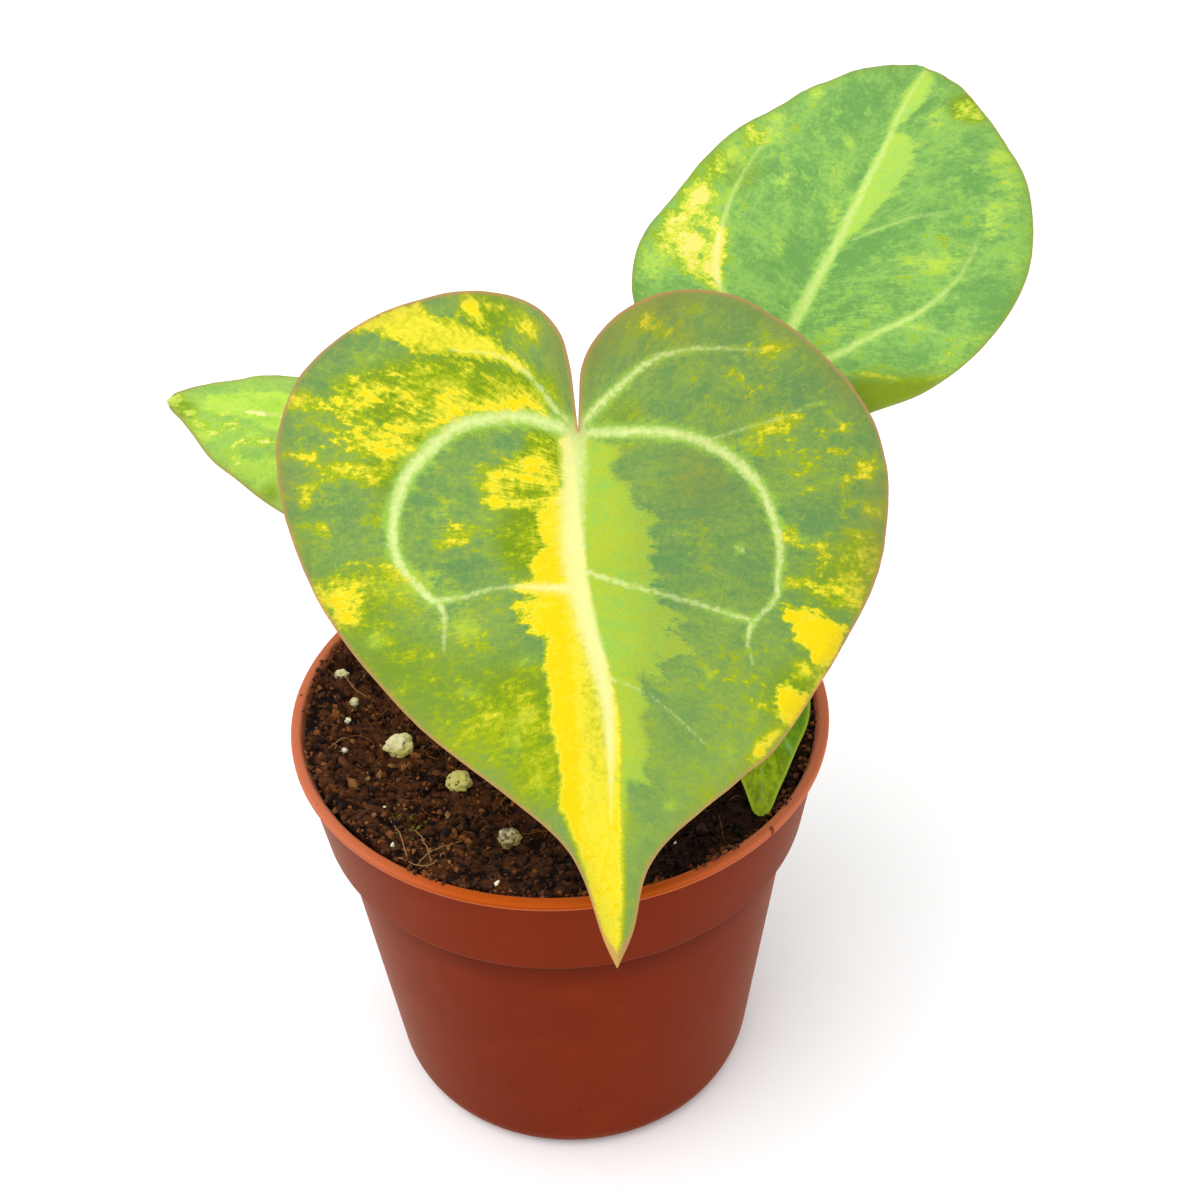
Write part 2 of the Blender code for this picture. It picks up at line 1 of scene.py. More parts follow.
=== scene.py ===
"""Looks of a young potted anthurium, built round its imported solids.

Every piece is a surface worked out with numpy in metres, in the frame of the solids:
+Z up, the middle of the pot's base at the origin, and the pot's front at -Y.
"""

import math
from dataclasses import dataclass, field

import bpy
import numpy as np
from bpy.props import FloatProperty, FloatVectorProperty, IntProperty, PointerProperty
from mathutils import Matrix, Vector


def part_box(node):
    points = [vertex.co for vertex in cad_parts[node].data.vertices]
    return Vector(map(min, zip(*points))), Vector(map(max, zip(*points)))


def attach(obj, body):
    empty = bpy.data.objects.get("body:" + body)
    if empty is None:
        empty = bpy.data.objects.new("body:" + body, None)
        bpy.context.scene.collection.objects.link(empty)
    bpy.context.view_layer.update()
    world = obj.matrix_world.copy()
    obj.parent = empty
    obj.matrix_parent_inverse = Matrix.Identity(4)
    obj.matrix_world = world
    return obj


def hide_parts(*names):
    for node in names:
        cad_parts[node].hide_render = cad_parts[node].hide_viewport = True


bl_info = {
    "name": "Potted Anthurium",
    "version": (1, 0, 0),
    "blender": (4, 5, 0),
    "location": "3D View > Sidebar > Anthurium",
    "description": "Builds a young variegated anthurium in its nursery pot, piece by piece",
    "category": "Add Mesh",
}

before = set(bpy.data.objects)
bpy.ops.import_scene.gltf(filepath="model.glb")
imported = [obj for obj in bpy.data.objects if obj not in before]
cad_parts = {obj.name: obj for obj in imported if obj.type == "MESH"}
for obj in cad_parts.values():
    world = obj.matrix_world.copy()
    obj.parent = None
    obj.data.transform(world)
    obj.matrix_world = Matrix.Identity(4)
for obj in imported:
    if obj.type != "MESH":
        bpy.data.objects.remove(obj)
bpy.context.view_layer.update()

MM = 0.001
SEAT = 0.3 * MM

# Pot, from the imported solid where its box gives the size
POT_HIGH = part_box("pot")[1]
POT_HEIGHT = POT_HIGH.z
LIP_RADIUS = POT_HIGH.x
LIP_DEPTH = 1.0 * MM
LIP_OVERHANG = 0.7 * MM
COLLAR_HEIGHT = 12.4 * MM
COLLAR_TAPER = 1.6 * MM
STEP_WIDTH = 1.5 * MM
BASE_RADIUS = 21.9 * MM
WALL = 0.8 * MM
FLOOR = 1.8 * MM
CHANNELS = 4
CHANNEL_WIDTH = 10 * MM
CHANNEL_DEPTH = 0.8 * MM
CHANNEL_START = 10 * MM
DRAIN_RADIUS = 2.2 * MM
DRAIN_CIRCLE = 15 * MM
CUTTER_SIDES = 48

# Substrate and what grows in it
SOIL_LEVEL = 50.3 * MM
SOIL_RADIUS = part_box("soil")[1].x
SOIL_SIDES = 500
SOIL_RINGS = 165
GRAIN_SIDES = 44
GRAIN_RINGS = 30
CRUMB_SIDES = 6
CRUMB_TILTS = np.radians([40, 90, 140])
FIBRE_SIDES = 4
FIBRE_STEPS = 9
STEM_RADIUS = 4.3 * MM
STEM_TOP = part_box("stem_and_roots")[1].z
STEM_FOOT = 39 * MM
STEM_SIDES = 64
STEM_RINGS = 90
ROOTS = 6
ROOT_SIDES = 12
ROOT_STEPS = 24
ROOT_RADIUS = 1.1 * MM
ROOT_TIP_RADIUS = 0.6 * MM
ROOT_START = 1.5 * MM
ROOT_REACH = 14 * MM
ROOT_DROP = 24 * MM
ROOT_WANDER = 2.2 * MM
ROOT_TURN = 0.4
ROOTLETS = (
    ((-18, -16.3), (-16.7, -19.3), (-15.6, -22.8)),
    ((-15.5, -17.5), (-14, -20.4), (-13.1, -23.3)),
    ((-14.8, -23.6), (-12.4, -21.2), (-10.2, -19)),
    ((-25.2, 7), (-23.4, 4.4), (-21.1, 3.6)),
    ((-25.2, -4.9), (-23.8, -3.7), (-23, -3.7)),
    ((-17, -22.7), (-13.2, -24.3), (-12.7, -22.4)),
)
SHEATH_ROWS = 50
SHEATH_COLUMNS = 60
SHEATH_FOOT = SOIL_LEVEL + 0.9 * MM
SHEATH_GAP = 0.06 * MM
SHEATH_THICKNESS = 0.24 * MM
SHEATH_LEAN = 1.2 * MM
FLUTE_DEPTH = 0.12 * MM
FLUTE_TURN = 26
FRAY_SHARE = 0.1

# Sheaths: name, the way each faces and its half angle in degrees, its height and its seed
SHEATHS = (("front", 207, 38, 9 * MM, 71), ("back", 100, 24, 6.3 * MM, 72))

# From and to where the substrate rises, outward from the axis and toward the left
BANK = (21 * MM, 27.5 * MM)
LEFT_BANK = (2 * MM, 22 * MM)

# Perlite chips among the crumbs, and a mossy spot, in millimetres on the substrate
CHIPS = ((-23.7, -0.5), (-23.7, -5.6), (-17.7, -20.9), (-18.6, -14.2), (-7.5, -27.2), (12, -21))
CHIP_SIZES = (1.1, 1.0, 0.8, 0.7, 0.7, 0.6)
MOSSY_SPOT = (-16, -17.5)
MOSSY_RADIUS = 2.4
MOSSY_SHARE = 0.4

# Crumbs on the lip in heaps of (direction and spread in degrees, count), and the distances
# from the axis, in millimetres, of those and of the crumbs against the wall
LIP_HEAPS = ((-119, 3, 14), (-55, 4, 22), (-36, 1.5, 4))
LIP_REACH = (28.5, 29.3)
WALL_CRUMBS = 640
WALL_REACH = (27.6, 28.7)

# Length and size in millimetres of a common fibre and crumb, and of the least and greatest
FIBRE_LENGTHS = (2.2, 0.8, 7)
CRUMB_SIZES = (0.5, 0.22, 1.8)
ROOTLET_RADIUS = 0.07 * MM

# What a crumb's mark says of moss, of a pale rootlet and of a perlite chip
MOSS_TINT = -1.0
ROOTLET_TINT = 0.74
CHIP_TINT = 0.97

# How green and how dirty the perlite grains in sight are
GRAIN_TONES = {1: (0.2, 0), 2: (1.2, 0.5), 3: (0.2, 1.7), 4: (-0.6, -1), 5: (-0.6, -1)}

# Stalks, which start on a ring round the middle of the stem's top
STALK_RING = 2.7 * MM
STALK_FOOT_RADIUS = 1.3 * MM
STALK_RADIUS = 0.95 * MM
STALK_KNEE_RADIUS = 1.2 * MM
STALK_SIDES = 20
STALK_STEPS = 70
KNEE_SHARE = 0.1
DOME_SHARE = 0.035

# Blades, in millimetres: how far it is from a vein to the top of the swelling, how far a
# vein's own ridge goes beyond its half width, and how wide the thin part at the edge is
PILLOW_REACH = 3.2
VEIN_SHOULDER = 0.45
EDGE_REACH = 1.6

# Share of the thickness at the edge, turn of the waves along half a blade's margin, and
# height and scale of the ripples of the skin
EDGE_SHARE = 0.45
MARGIN_WAVE = 24
RIPPLE = 0.12 * MM
RIPPLE_SCALE = 0.35

# How the columns of a blade fan out from the midrib, how far their noise is spread round
# the notch, and how much coarser the underside is
FAN_START = 0.05
FAN_POWER = 2.7
RUN_SPREAD = 2.2
UNDER_COARSER = 4
UNDER_ROWS = 8

# Studio
FLOOR_RADIUS = 3
FLOOR_SIDES = 96
LAMP_SIZE = 0.9
LAMP_PLACE = (-0.35, -0.3, 0.95)
LAMP_TURN = math.radians(-40)
LAMP_TILT = math.radians(24)

# Camera that took the photograph, fitted to the pot's rim, collar and base
CAMERA_PLACE = (4.855 * MM, -151.442 * MM, 185.603 * MM)
CAMERA_PITCH = math.radians(38.15)
CAMERA_ROLL = math.radians(1.76)
CAMERA_LENS = 54
CAMERA_SENSOR = 36

# Large odd numbers that scatter the random values of the noise
HASH_STEPS = np.array([73856093, 19349663, 83492791])
HASH_SEED = 2654435
HASH_SPREAD = 1274126177

# Seeds of the random draws
CRUMB_DRAW = 14
RIM_CRUMB_DRAW = 31
FIBRE_DRAW = 5

# Seeds of the noise
RIPPLE_NOISE = 5
BARK_NOISE = 21
MOUND_NOISE = 3
CLOD_NOISE = 8
LUMP_NOISE = 17
GRAIN_LUMP_NOISE = 40
GRAIN_KNOB_NOISE = 60
GRAIN_PIT_NOISE = 80

# How brightly the studio lights a level surface
STUDIO_LIGHT = 1.35


def display(red, green, blue, light=STUDIO_LIGHT):
    """A surface's own colour, from the display colour of 0 to 255 it has under a light.

    The sRGB curve is undone, and what the light adds is divided away.
    """
    share = np.array([red, green, blue]) / 255
    linear = np.where(share <= 0.04045, share / 12.92, ((share + 0.055) / 1.055) ** 2.4)
    return tuple(float(value) for value in linear / light)


@dataclass
class Leaf:
    """One leaf: its place, bend and outline, and the veins and colours on its blade.

    Outlines, veins, areas and patches are (across, along) millimetres on the flattened
    blade, from the notch where the stalk joins. A vein has three half widths: where it
    starts, halfway and where it ends. A patch is (across, along, half length, half width,
    turn in degrees, strength), and a tone or a zone is (across, along, radius, strength).
    From calm_from on along the blade, the colours are paler and less ragged. A palette
    holds display colours in place of the settings' ones.
    """

    name: str
    notch: tuple
    tip: tuple
    droop: float
    arch: float
    roll: float
    wave: float
    right: list
    left: list
    foot_angle: float
    stalk_end: tuple
    stalk_scale: float
    columns: int
    rows: int
    veins: list = field(default_factory=list)
    yellow_areas: list = field(default_factory=list)
    yellow_patches: list = field(default_factory=list)
    lime_areas: list = field(default_factory=list)
    lime_patches: list = field(default_factory=list)
    olive_tones: list = field(default_factory=list)
    fleck_zones: list = field(default_factory=list)
    tan_zones: list = field(default_factory=list)
    calm_from: float = 1000
    palette: dict = field(default_factory=dict)


FRONT = Leaf(
    name="front",
    notch=(3.3, -6.0, 92.3),
    tip=(5.4, -37.0, 50.7),
    droop=22,
    arch=75,
    roll=0,
    wave=0.35,
    right=[
        (0, 0), (0.3, -3), (0.75, -6), (2.2, -8.7), (5, -11.4), (9, -13.3), (13.5, -13.8),
        (18.2, -12.6), (23, -9.3), (28, -4.2), (31.1, 1.5), (31.5, 8), (29.3, 15.3),
        (25, 22.1), (17.8, 31.4), (13.3, 34.7), (9.2, 37.3), (6.1, 39.6), (4.2, 41.6),
        (3, 43.9), (1.8, 48.6), (0, 52.3),
    ],
    left=[
        (0, 0), (-0.15, -3), (-0.35, -6.5), (-1.2, -10), (-3.8, -13), (-8, -14.7), (-13, -15),
        (-20.5, -13.2), (-26.6, -9), (-30, -2.8), (-30, 4), (-28, 11), (-24.2, 18.5),
        (-17.4, 27.5), (-9.4, 34.5), (-4.8, 39), (-2.7, 43), (-1.2, 49), (0, 52.3),
    ],
    foot_angle=-92,
    stalk_end=(0.05, -0.55, 0.83),
    stalk_scale=1.1,
    columns=320,
    rows=108,
    veins=[
        ((0.95, 0.7, 0.0), [
            (-0.1, 0), (-0.4, 3), (-0.9, 8), (-1.2, 12), (-0.9, 16), (0, 21), (0.6, 25),
            (0.8, 28), (0.6, 34), (0.3, 38),
        ]),
        ((0.52, 0.58, 0.3), [
            (-0.8, 0.2), (-2.5, -0.7), (-5, -1.6), (-8.5, -1.8), (-11.9, -1.2), (-14.8, 0.9),
            (-17.2, 3.4), (-18.6, 7), (-18.7, 10.2), (-17.6, 12.6), (-15.3, 15.4),
        ]),
        ((0.4, 0.46, 0.16), [
            (0.6, 0.4), (4.5, 0.5), (8.5, 0.8), (12, 1.8), (15.1, 3.8), (17.4, 6.4),
            (18.6, 9.6), (19, 12.6), (18.5, 15.3), (18, 17.7), (15.6, 19.7),
        ]),
        ((0.24, 0.1, 0.3), [(-15.2, 15.5), (-12.3, 15.3), (-8.2, 14.7), (-2, 15.3)]),
        ((0.24, 0.14, 0.02), [(-14.6, 15.6), (-14.2, 17.3), (-14.5, 20.6)]),
        ((0.2, 0.12, 0.2), [(0, 13.9), (2.9, 15.1), (9.5, 17.4), (15.6, 19.7)]),
        ((0.26, 0.14, 0.02), [(15.5, 19.7), (14.9, 21.5), (15.3, 23.8)]),
        ((0.14, 0.07, 0.02), [(1.4, 24.2), (2.8, 24.7), (4.2, 25.6)]),
        ((0.02, 0.05, 0.01), [(5, 26), (6.7, 27.7), (8.2, 29.2), (10, 31)]),
        ((0.2, 0.12, 0.02), [(-0.6, -0.4), (-2, -2.1), (-4.4, -5.8), (-7.4, -8.1), (-12, -9.2)]),
        ((0.34, 0.22, 0.04), [
            (0.4, -0.4), (1.6, -1.7), (4.6, -4.3), (7.2, -6.3), (9.8, -7.3), (12.9, -7.7),
            (19, -7.5),
        ]),
        ((0.07, 0.07, 0.02), [(12.4, 1.8), (14.3, 1.2), (20.9, -0.7), (24.4, -2.3)]),
        ((0.1, 0.2, 0.06), [(14.5, 12.4), (14.9, 12.7), (15.2, 13)]),
    ],
    yellow_areas=[
        [
            (-0.7, 0.2), (-1.9, 1), (-2, 3.4), (-1.8, 5.2), (-3.2, 6.6), (-4.4, 8.2), (-4.4, 10),
            (-3.8, 11.1), (-5.5, 13), (-5.2, 14.4), (-7.2, 14.9), (-5, 15.8), (-7, 16.8),
            (-5.3, 17.4), (-7, 18.1), (-4.5, 19.7), (-4.7, 24), (-4.6, 28), (-4, 31.3),
            (-4.2, 36), (-2.8, 40), (-1.2, 49), (0, 52), (0.8, 46), (1.1, 40), (1.5, 34),
            (1.9, 28), (1.2, 23), (0.3, 20), (-0.2, 15), (-0.6, 8),
        ],
        [
            (-22, -12.9), (-17.6, -13.9), (-14.7, -14.5), (-13.9, -12.8), (-9.5, -11),
            (-7.4, -9.2), (-5.6, -7.6), (-4, -5.6), (-5.9, -6.9), (-8.6, -8), (-11.3, -9),
            (-13.4, -8.9), (-15.5, -10.1), (-18.5, -12), (-20.2, -12.7),
        ],
        [(18.8, 18.4), (21.4, 19.3), (24.6, 21), (23.4, 24.4), (21.6, 24.4), (19.8, 21.4)],
        [(17.7, 26.3), (20.4, 27.3), (20.4, 28.6), (18.6, 30.4), (17.4, 29.2)],
    ],
    yellow_patches=[
        (-28, -6.2, 1.6, 0.9, 20, 1.1), (-4, -10.5, 1.3, 0.9, 47, 1),
        (-6.4, -13, 0.5, 0.4, 0, 0.8), (-9.2, -12.6, 2.2, 0.5, 65, 1),
        (-13.8, -13.2, 1, 0.6, 20, 0.5), (-21.3, -4.4, 1.5, 1, 9, 0.9),
        (-22.2, -6.6, 2, 0.8, 15, 0.55), (-18.5, -5.6, 2.6, 0.7, 23, 0.7),
        (-19.2, -0.8, 2.6, 1.4, 13, 1.15), (-13.4, -2.1, 1.8, 0.7, -3, 0.6),
        (-5.5, -3.3, 1.3, 0.9, 10, 0.9), (-3.5, -2, 1.3, 0.3, 46, 0.8),
        (-7.6, -2.9, 3.2, 0.5, 3, 0.75),
        (-25.1, -3.1, 1.6, 0.6, 21, 0.8), (-27.1, -0.3, 1.9, 0.5, 9, 1),
        (-23.2, 1.8, 2.2, 0.8, 14, 0.8), (-27.2, 2.9, 1.3, 0.6, 0, 0.9),
        (-27.4, 3.9, 0.7, 0.5, 8, 0.9), (-27, 6.8, 1.2, 0.5, 15, 0.5),
        (-25.6, -5.2, 1.6, 0.7, 10, 0.4), (-12.2, 9.4, 2.2, 0.9, -25, 1),
        (-8.7, 5.2, 1.1, 1.3, 15, 0.85), (-7.4, 6.7, 1.6, 0.5, 10, 0.8),
        (-7.2, 4, 2, 0.6, 20, 0.65), (-4.4, 3, 2.4, 0.8, 30, 0.7),
        (-3.6, 5.2, 2.2, 0.7, 20, 0.7), (-3.8, 7, 2.2, 0.6, 0, 0.75),
        (-18.9, 12.3, 1.3, 1, 15, 0.8), (-25.2, 14.2, 2, 1.1, 35, 1),
        (-22.9, 13, 1.6, 0.8, 5, 0.75), (-24.2, 15.8, 1.3, 0.9, 40, 0.8),
        (-26, 15.6, 1.2, 0.5, 60, 0.8), (-20.2, 14.6, 2.4, 0.8, 10, 0.4),
        (3, -10.2, 1.6, 0.35, -43, 0.6), (7.9, -10, 1.3, 0.9, 30, 0.9),
        (11.4, -11.8, 1.2, 0.5, 0, 0.3), (19.6, -7.6, 1.7, 1.2, -10, 0.55),
        (16.5, -4.2, 1.4, 0.9, 0, 0.35), (19.8, 0.5, 1.9, 0.7, -21, 1.4),
        (15.8, 2.1, 2, 0.7, -12, 0.4), (26.9, 0.6, 1, 0.5, 45, 0.5), (22, 4.4, 1.6, 1, 10, 0.5),
        (22.6, 6.9, 0.6, 0.3, 0, 0.4), (29.2, 4.7, 1.5, 1.1, 0, 0.95),
        (26.2, 6, 1.8, 0.6, -8, 0.4), (29.8, 9.2, 1, 0.9, 10, 0.65),
        (27.8, 8.4, 1.4, 0.5, 0, 0.4), (20, 11.6, 1.1, 0.6, 5, 1.1),
        (22.6, 12.6, 1.4, 0.35, 5, 0.15), (20.2, 16.1, 1, 0.5, 3, 0.75),
        (24.2, 17.7, 1.9, 1.1, 15, 0.65), (26.6, 17.4, 1.6, 1, 40, 0.4),
        (20.3, 24.7, 1, 0.7, 73, 0.9), (15.2, 32.2, 0.7, 0.5, 80, 0.9),
        (16.4, 31.4, 1.8, 0.5, -42, 0.9), (21.9, 26.4, 1.5, 0.4, -48, 0.9),
        (28.4, 13.2, 1.6, 1.2, 60, 0.35),
    ],
    lime_areas=[
        [
            (-0.4, 0.6), (3.7, 1.9), (3.6, 2.9), (2.7, 3.8), (2.9, 4.9), (4.6, 6.4), (4.7, 7.4),
            (6.4, 9.2), (5.9, 10.2), (6.4, 11.6), (5.7, 12.9), (6.2, 14.3), (5.7, 15.3),
            (6.6, 17.1), (8.4, 19.2), (6.8, 20.1), (9.2, 22), (7.9, 22.6), (5.9, 22.5),
            (6, 24.4), (3.9, 23.9), (4.6, 27.1), (3.6, 27.8), (4.4, 31.8), (3.6, 32.7),
            (4.1, 34.3), (2.1, 33.9), (1.8, 36.3), (1.3, 40.2), (0.7, 45), (0, 50), (-0.5, 30),
        ],
    ],
    lime_patches=[
        (-15.4, 13.5, 1.6, 1, 25, 0.9), (-12, 18.4, 1.3, 1, -6, 0.8),
        (-21, 18.9, 1, 0.9, 4, 0.8), (-12.2, 24.4, 1.2, 0.7, 4, 0.5),
        (-6.4, 21.8, 1.2, 0.4, -16, 0.6), (-6.9, 27.1, 1.8, 0.5, -26, 0.5),
        (-8.1, 29.3, 1.8, 0.8, 86, 0.5), (-6.1, 34.1, 1, 0.6, 86, 0.5),
        (-16.6, 0.6, 1.4, 1, -24, 0.6), (-13.6, -2.6, 2, 0.9, -10, 0.6),
        (-19.4, -9.3, 1.6, 0.35, -50, 0.7), (14.7, 28.7, 0.6, 0.6, 0, 0.5),
        (12.3, 32.5, 1.3, 0.5, 69, 0.6), (10.7, 24.5, 1, 0.6, 60, 0.6),
        (5.9, 36.8, 0.8, 0.6, 0, 0.6), (16.5, -6.6, 1, 0.4, 0, 0.5),
        (16.2, 2.2, 1.8, 0.6, -14, 0.5), (24.6, -2, 1.4, 0.3, -14, 0.7),
        (26.6, 0, 1.4, 0.25, 42, 0.6), (26, 6, 1.4, 0.3, -13, 0.4),
        (21, 11.8, 1.6, 0.5, 4, 0.7),
        (22.5, 6.8, 0.7, 0.25, 0, 0.5), (-19.2, 14, 3.2, 0.8, 12, 0.6),
        (-14.4, 17.6, 3, 1.6, 0, 0.5), (-9.8, 8, 1.6, 0.5, 10, 0.4), (-13.8, 7, 2, 0.9, -20, 0.6),
        (8.6, 10.6, 1.8, 0.6, 8, 0.3), (-22.4, 9, 1.2, 0.5, 10, 0.3),
    ],
    olive_tones=[
        (-11, -5.2, 4.6, 1), (-17, -5, 3.6, 0.8), (-6.5, -3.6, 2.6, 0.7), (-22, -6, 3.6, 0.5),
        (-7.6, -12.6, 3.2, 0.7), (-5.2, 4.6, 3.4, 1.1), (-6.4, 11, 3, 0.8), (-3, -4, 2.4, 0.6),
        (-12, -2.9, 2.2, 0.9), (-16, -1, 2, 1.2), (-19, 2.4, 2.4, 0.8), (-20.4, 6.4, 1.8, 0.5),
        (-6.5, 26, 4.4, 0.7), (-5.8, 33, 3.6, 0.6), (-14, 25, 7, 0.45), (4, -1, 3, 0.4),
        (27, 7, 6, 0.1), (23.5, 17, 4.5, 0.5), (28, 14, 3, 0.5), (19.5, 27.5, 4, 0.8),
        (8, 30, 5, 0.1), (8, -10, 4, 0.25), (-26, 8, 5, 0.3),
        (-3.2, 1.6, 2, 0.9), (-21, 21, 5, 0.4), (-4.4, 11, 2.2, 0.5), (-23, 14.5, 4, 0.5),
        (6, 32, 5, -0.4), (7, 13, 3.4, -0.5), (14, 14, 3, -0.4), (22.5, 9.8, 1.6, -0.2),
        (-14, 2.6, 3.4, -0.6), (-6.9, 1.2, 1.6, -0.8), (-22.3, 6, 2.2, -0.6),
        (-22.4, -10.8, 2.2, -0.4), (-24.2, 9.4, 2, -0.4), (21, -4.7, 3, -0.3),
        (-11, 12.4, 2, -0.4),
    ],
    fleck_zones=[
        (-19, -4.5, 5.5, 1.3), (-12.5, -3.4, 3, 0.9), (-24.5, -1.5, 5, 1), (-5, 4.8, 4.2, 1.2),
        (-9, -12, 4.4, 0.9), (-13, 8, 3.6, 1.1), (-25.5, 8, 5, 0.7), (-22, 14.5, 4, 1.2),
        (-13, 17.5, 4, 0.7), (-10, 27, 5, 0.4), (28, 6.5, 4.5, 0.6), (24, 17, 4.5, 1),
        (18, 26.5, 5, 0.9), (21, 2, 5, 1), (19, -6, 4, 0.9), (8, -10, 3.6, 0.9),
        (14.5, -4, 3, 0.7), (11, 24.5, 3.4, 0.5), (9.5, 11, 3.4, 0.5), (13.5, 32, 4, 0.6),
        (27, -1, 4, 0.6), (22, 12, 4, 0.7), (5.5, 35, 3, 0.3),
    ],
    tan_zones=[
        (9, -10.5, 6, 0.4), (20, -9, 5, 0.2), (27, -3, 4, 0.25), (11, 6, 4.6, 0.4),
        (29.5, 8, 4, 0.3), (3, -7, 3, 0.25), (-2.5, -8, 3, 0.25), (27, 14, 4, 0.3),
        (16, -2, 5, 0.15), (-28.6, 2, 3, 0.25),
    ],
    calm_from=19,
)

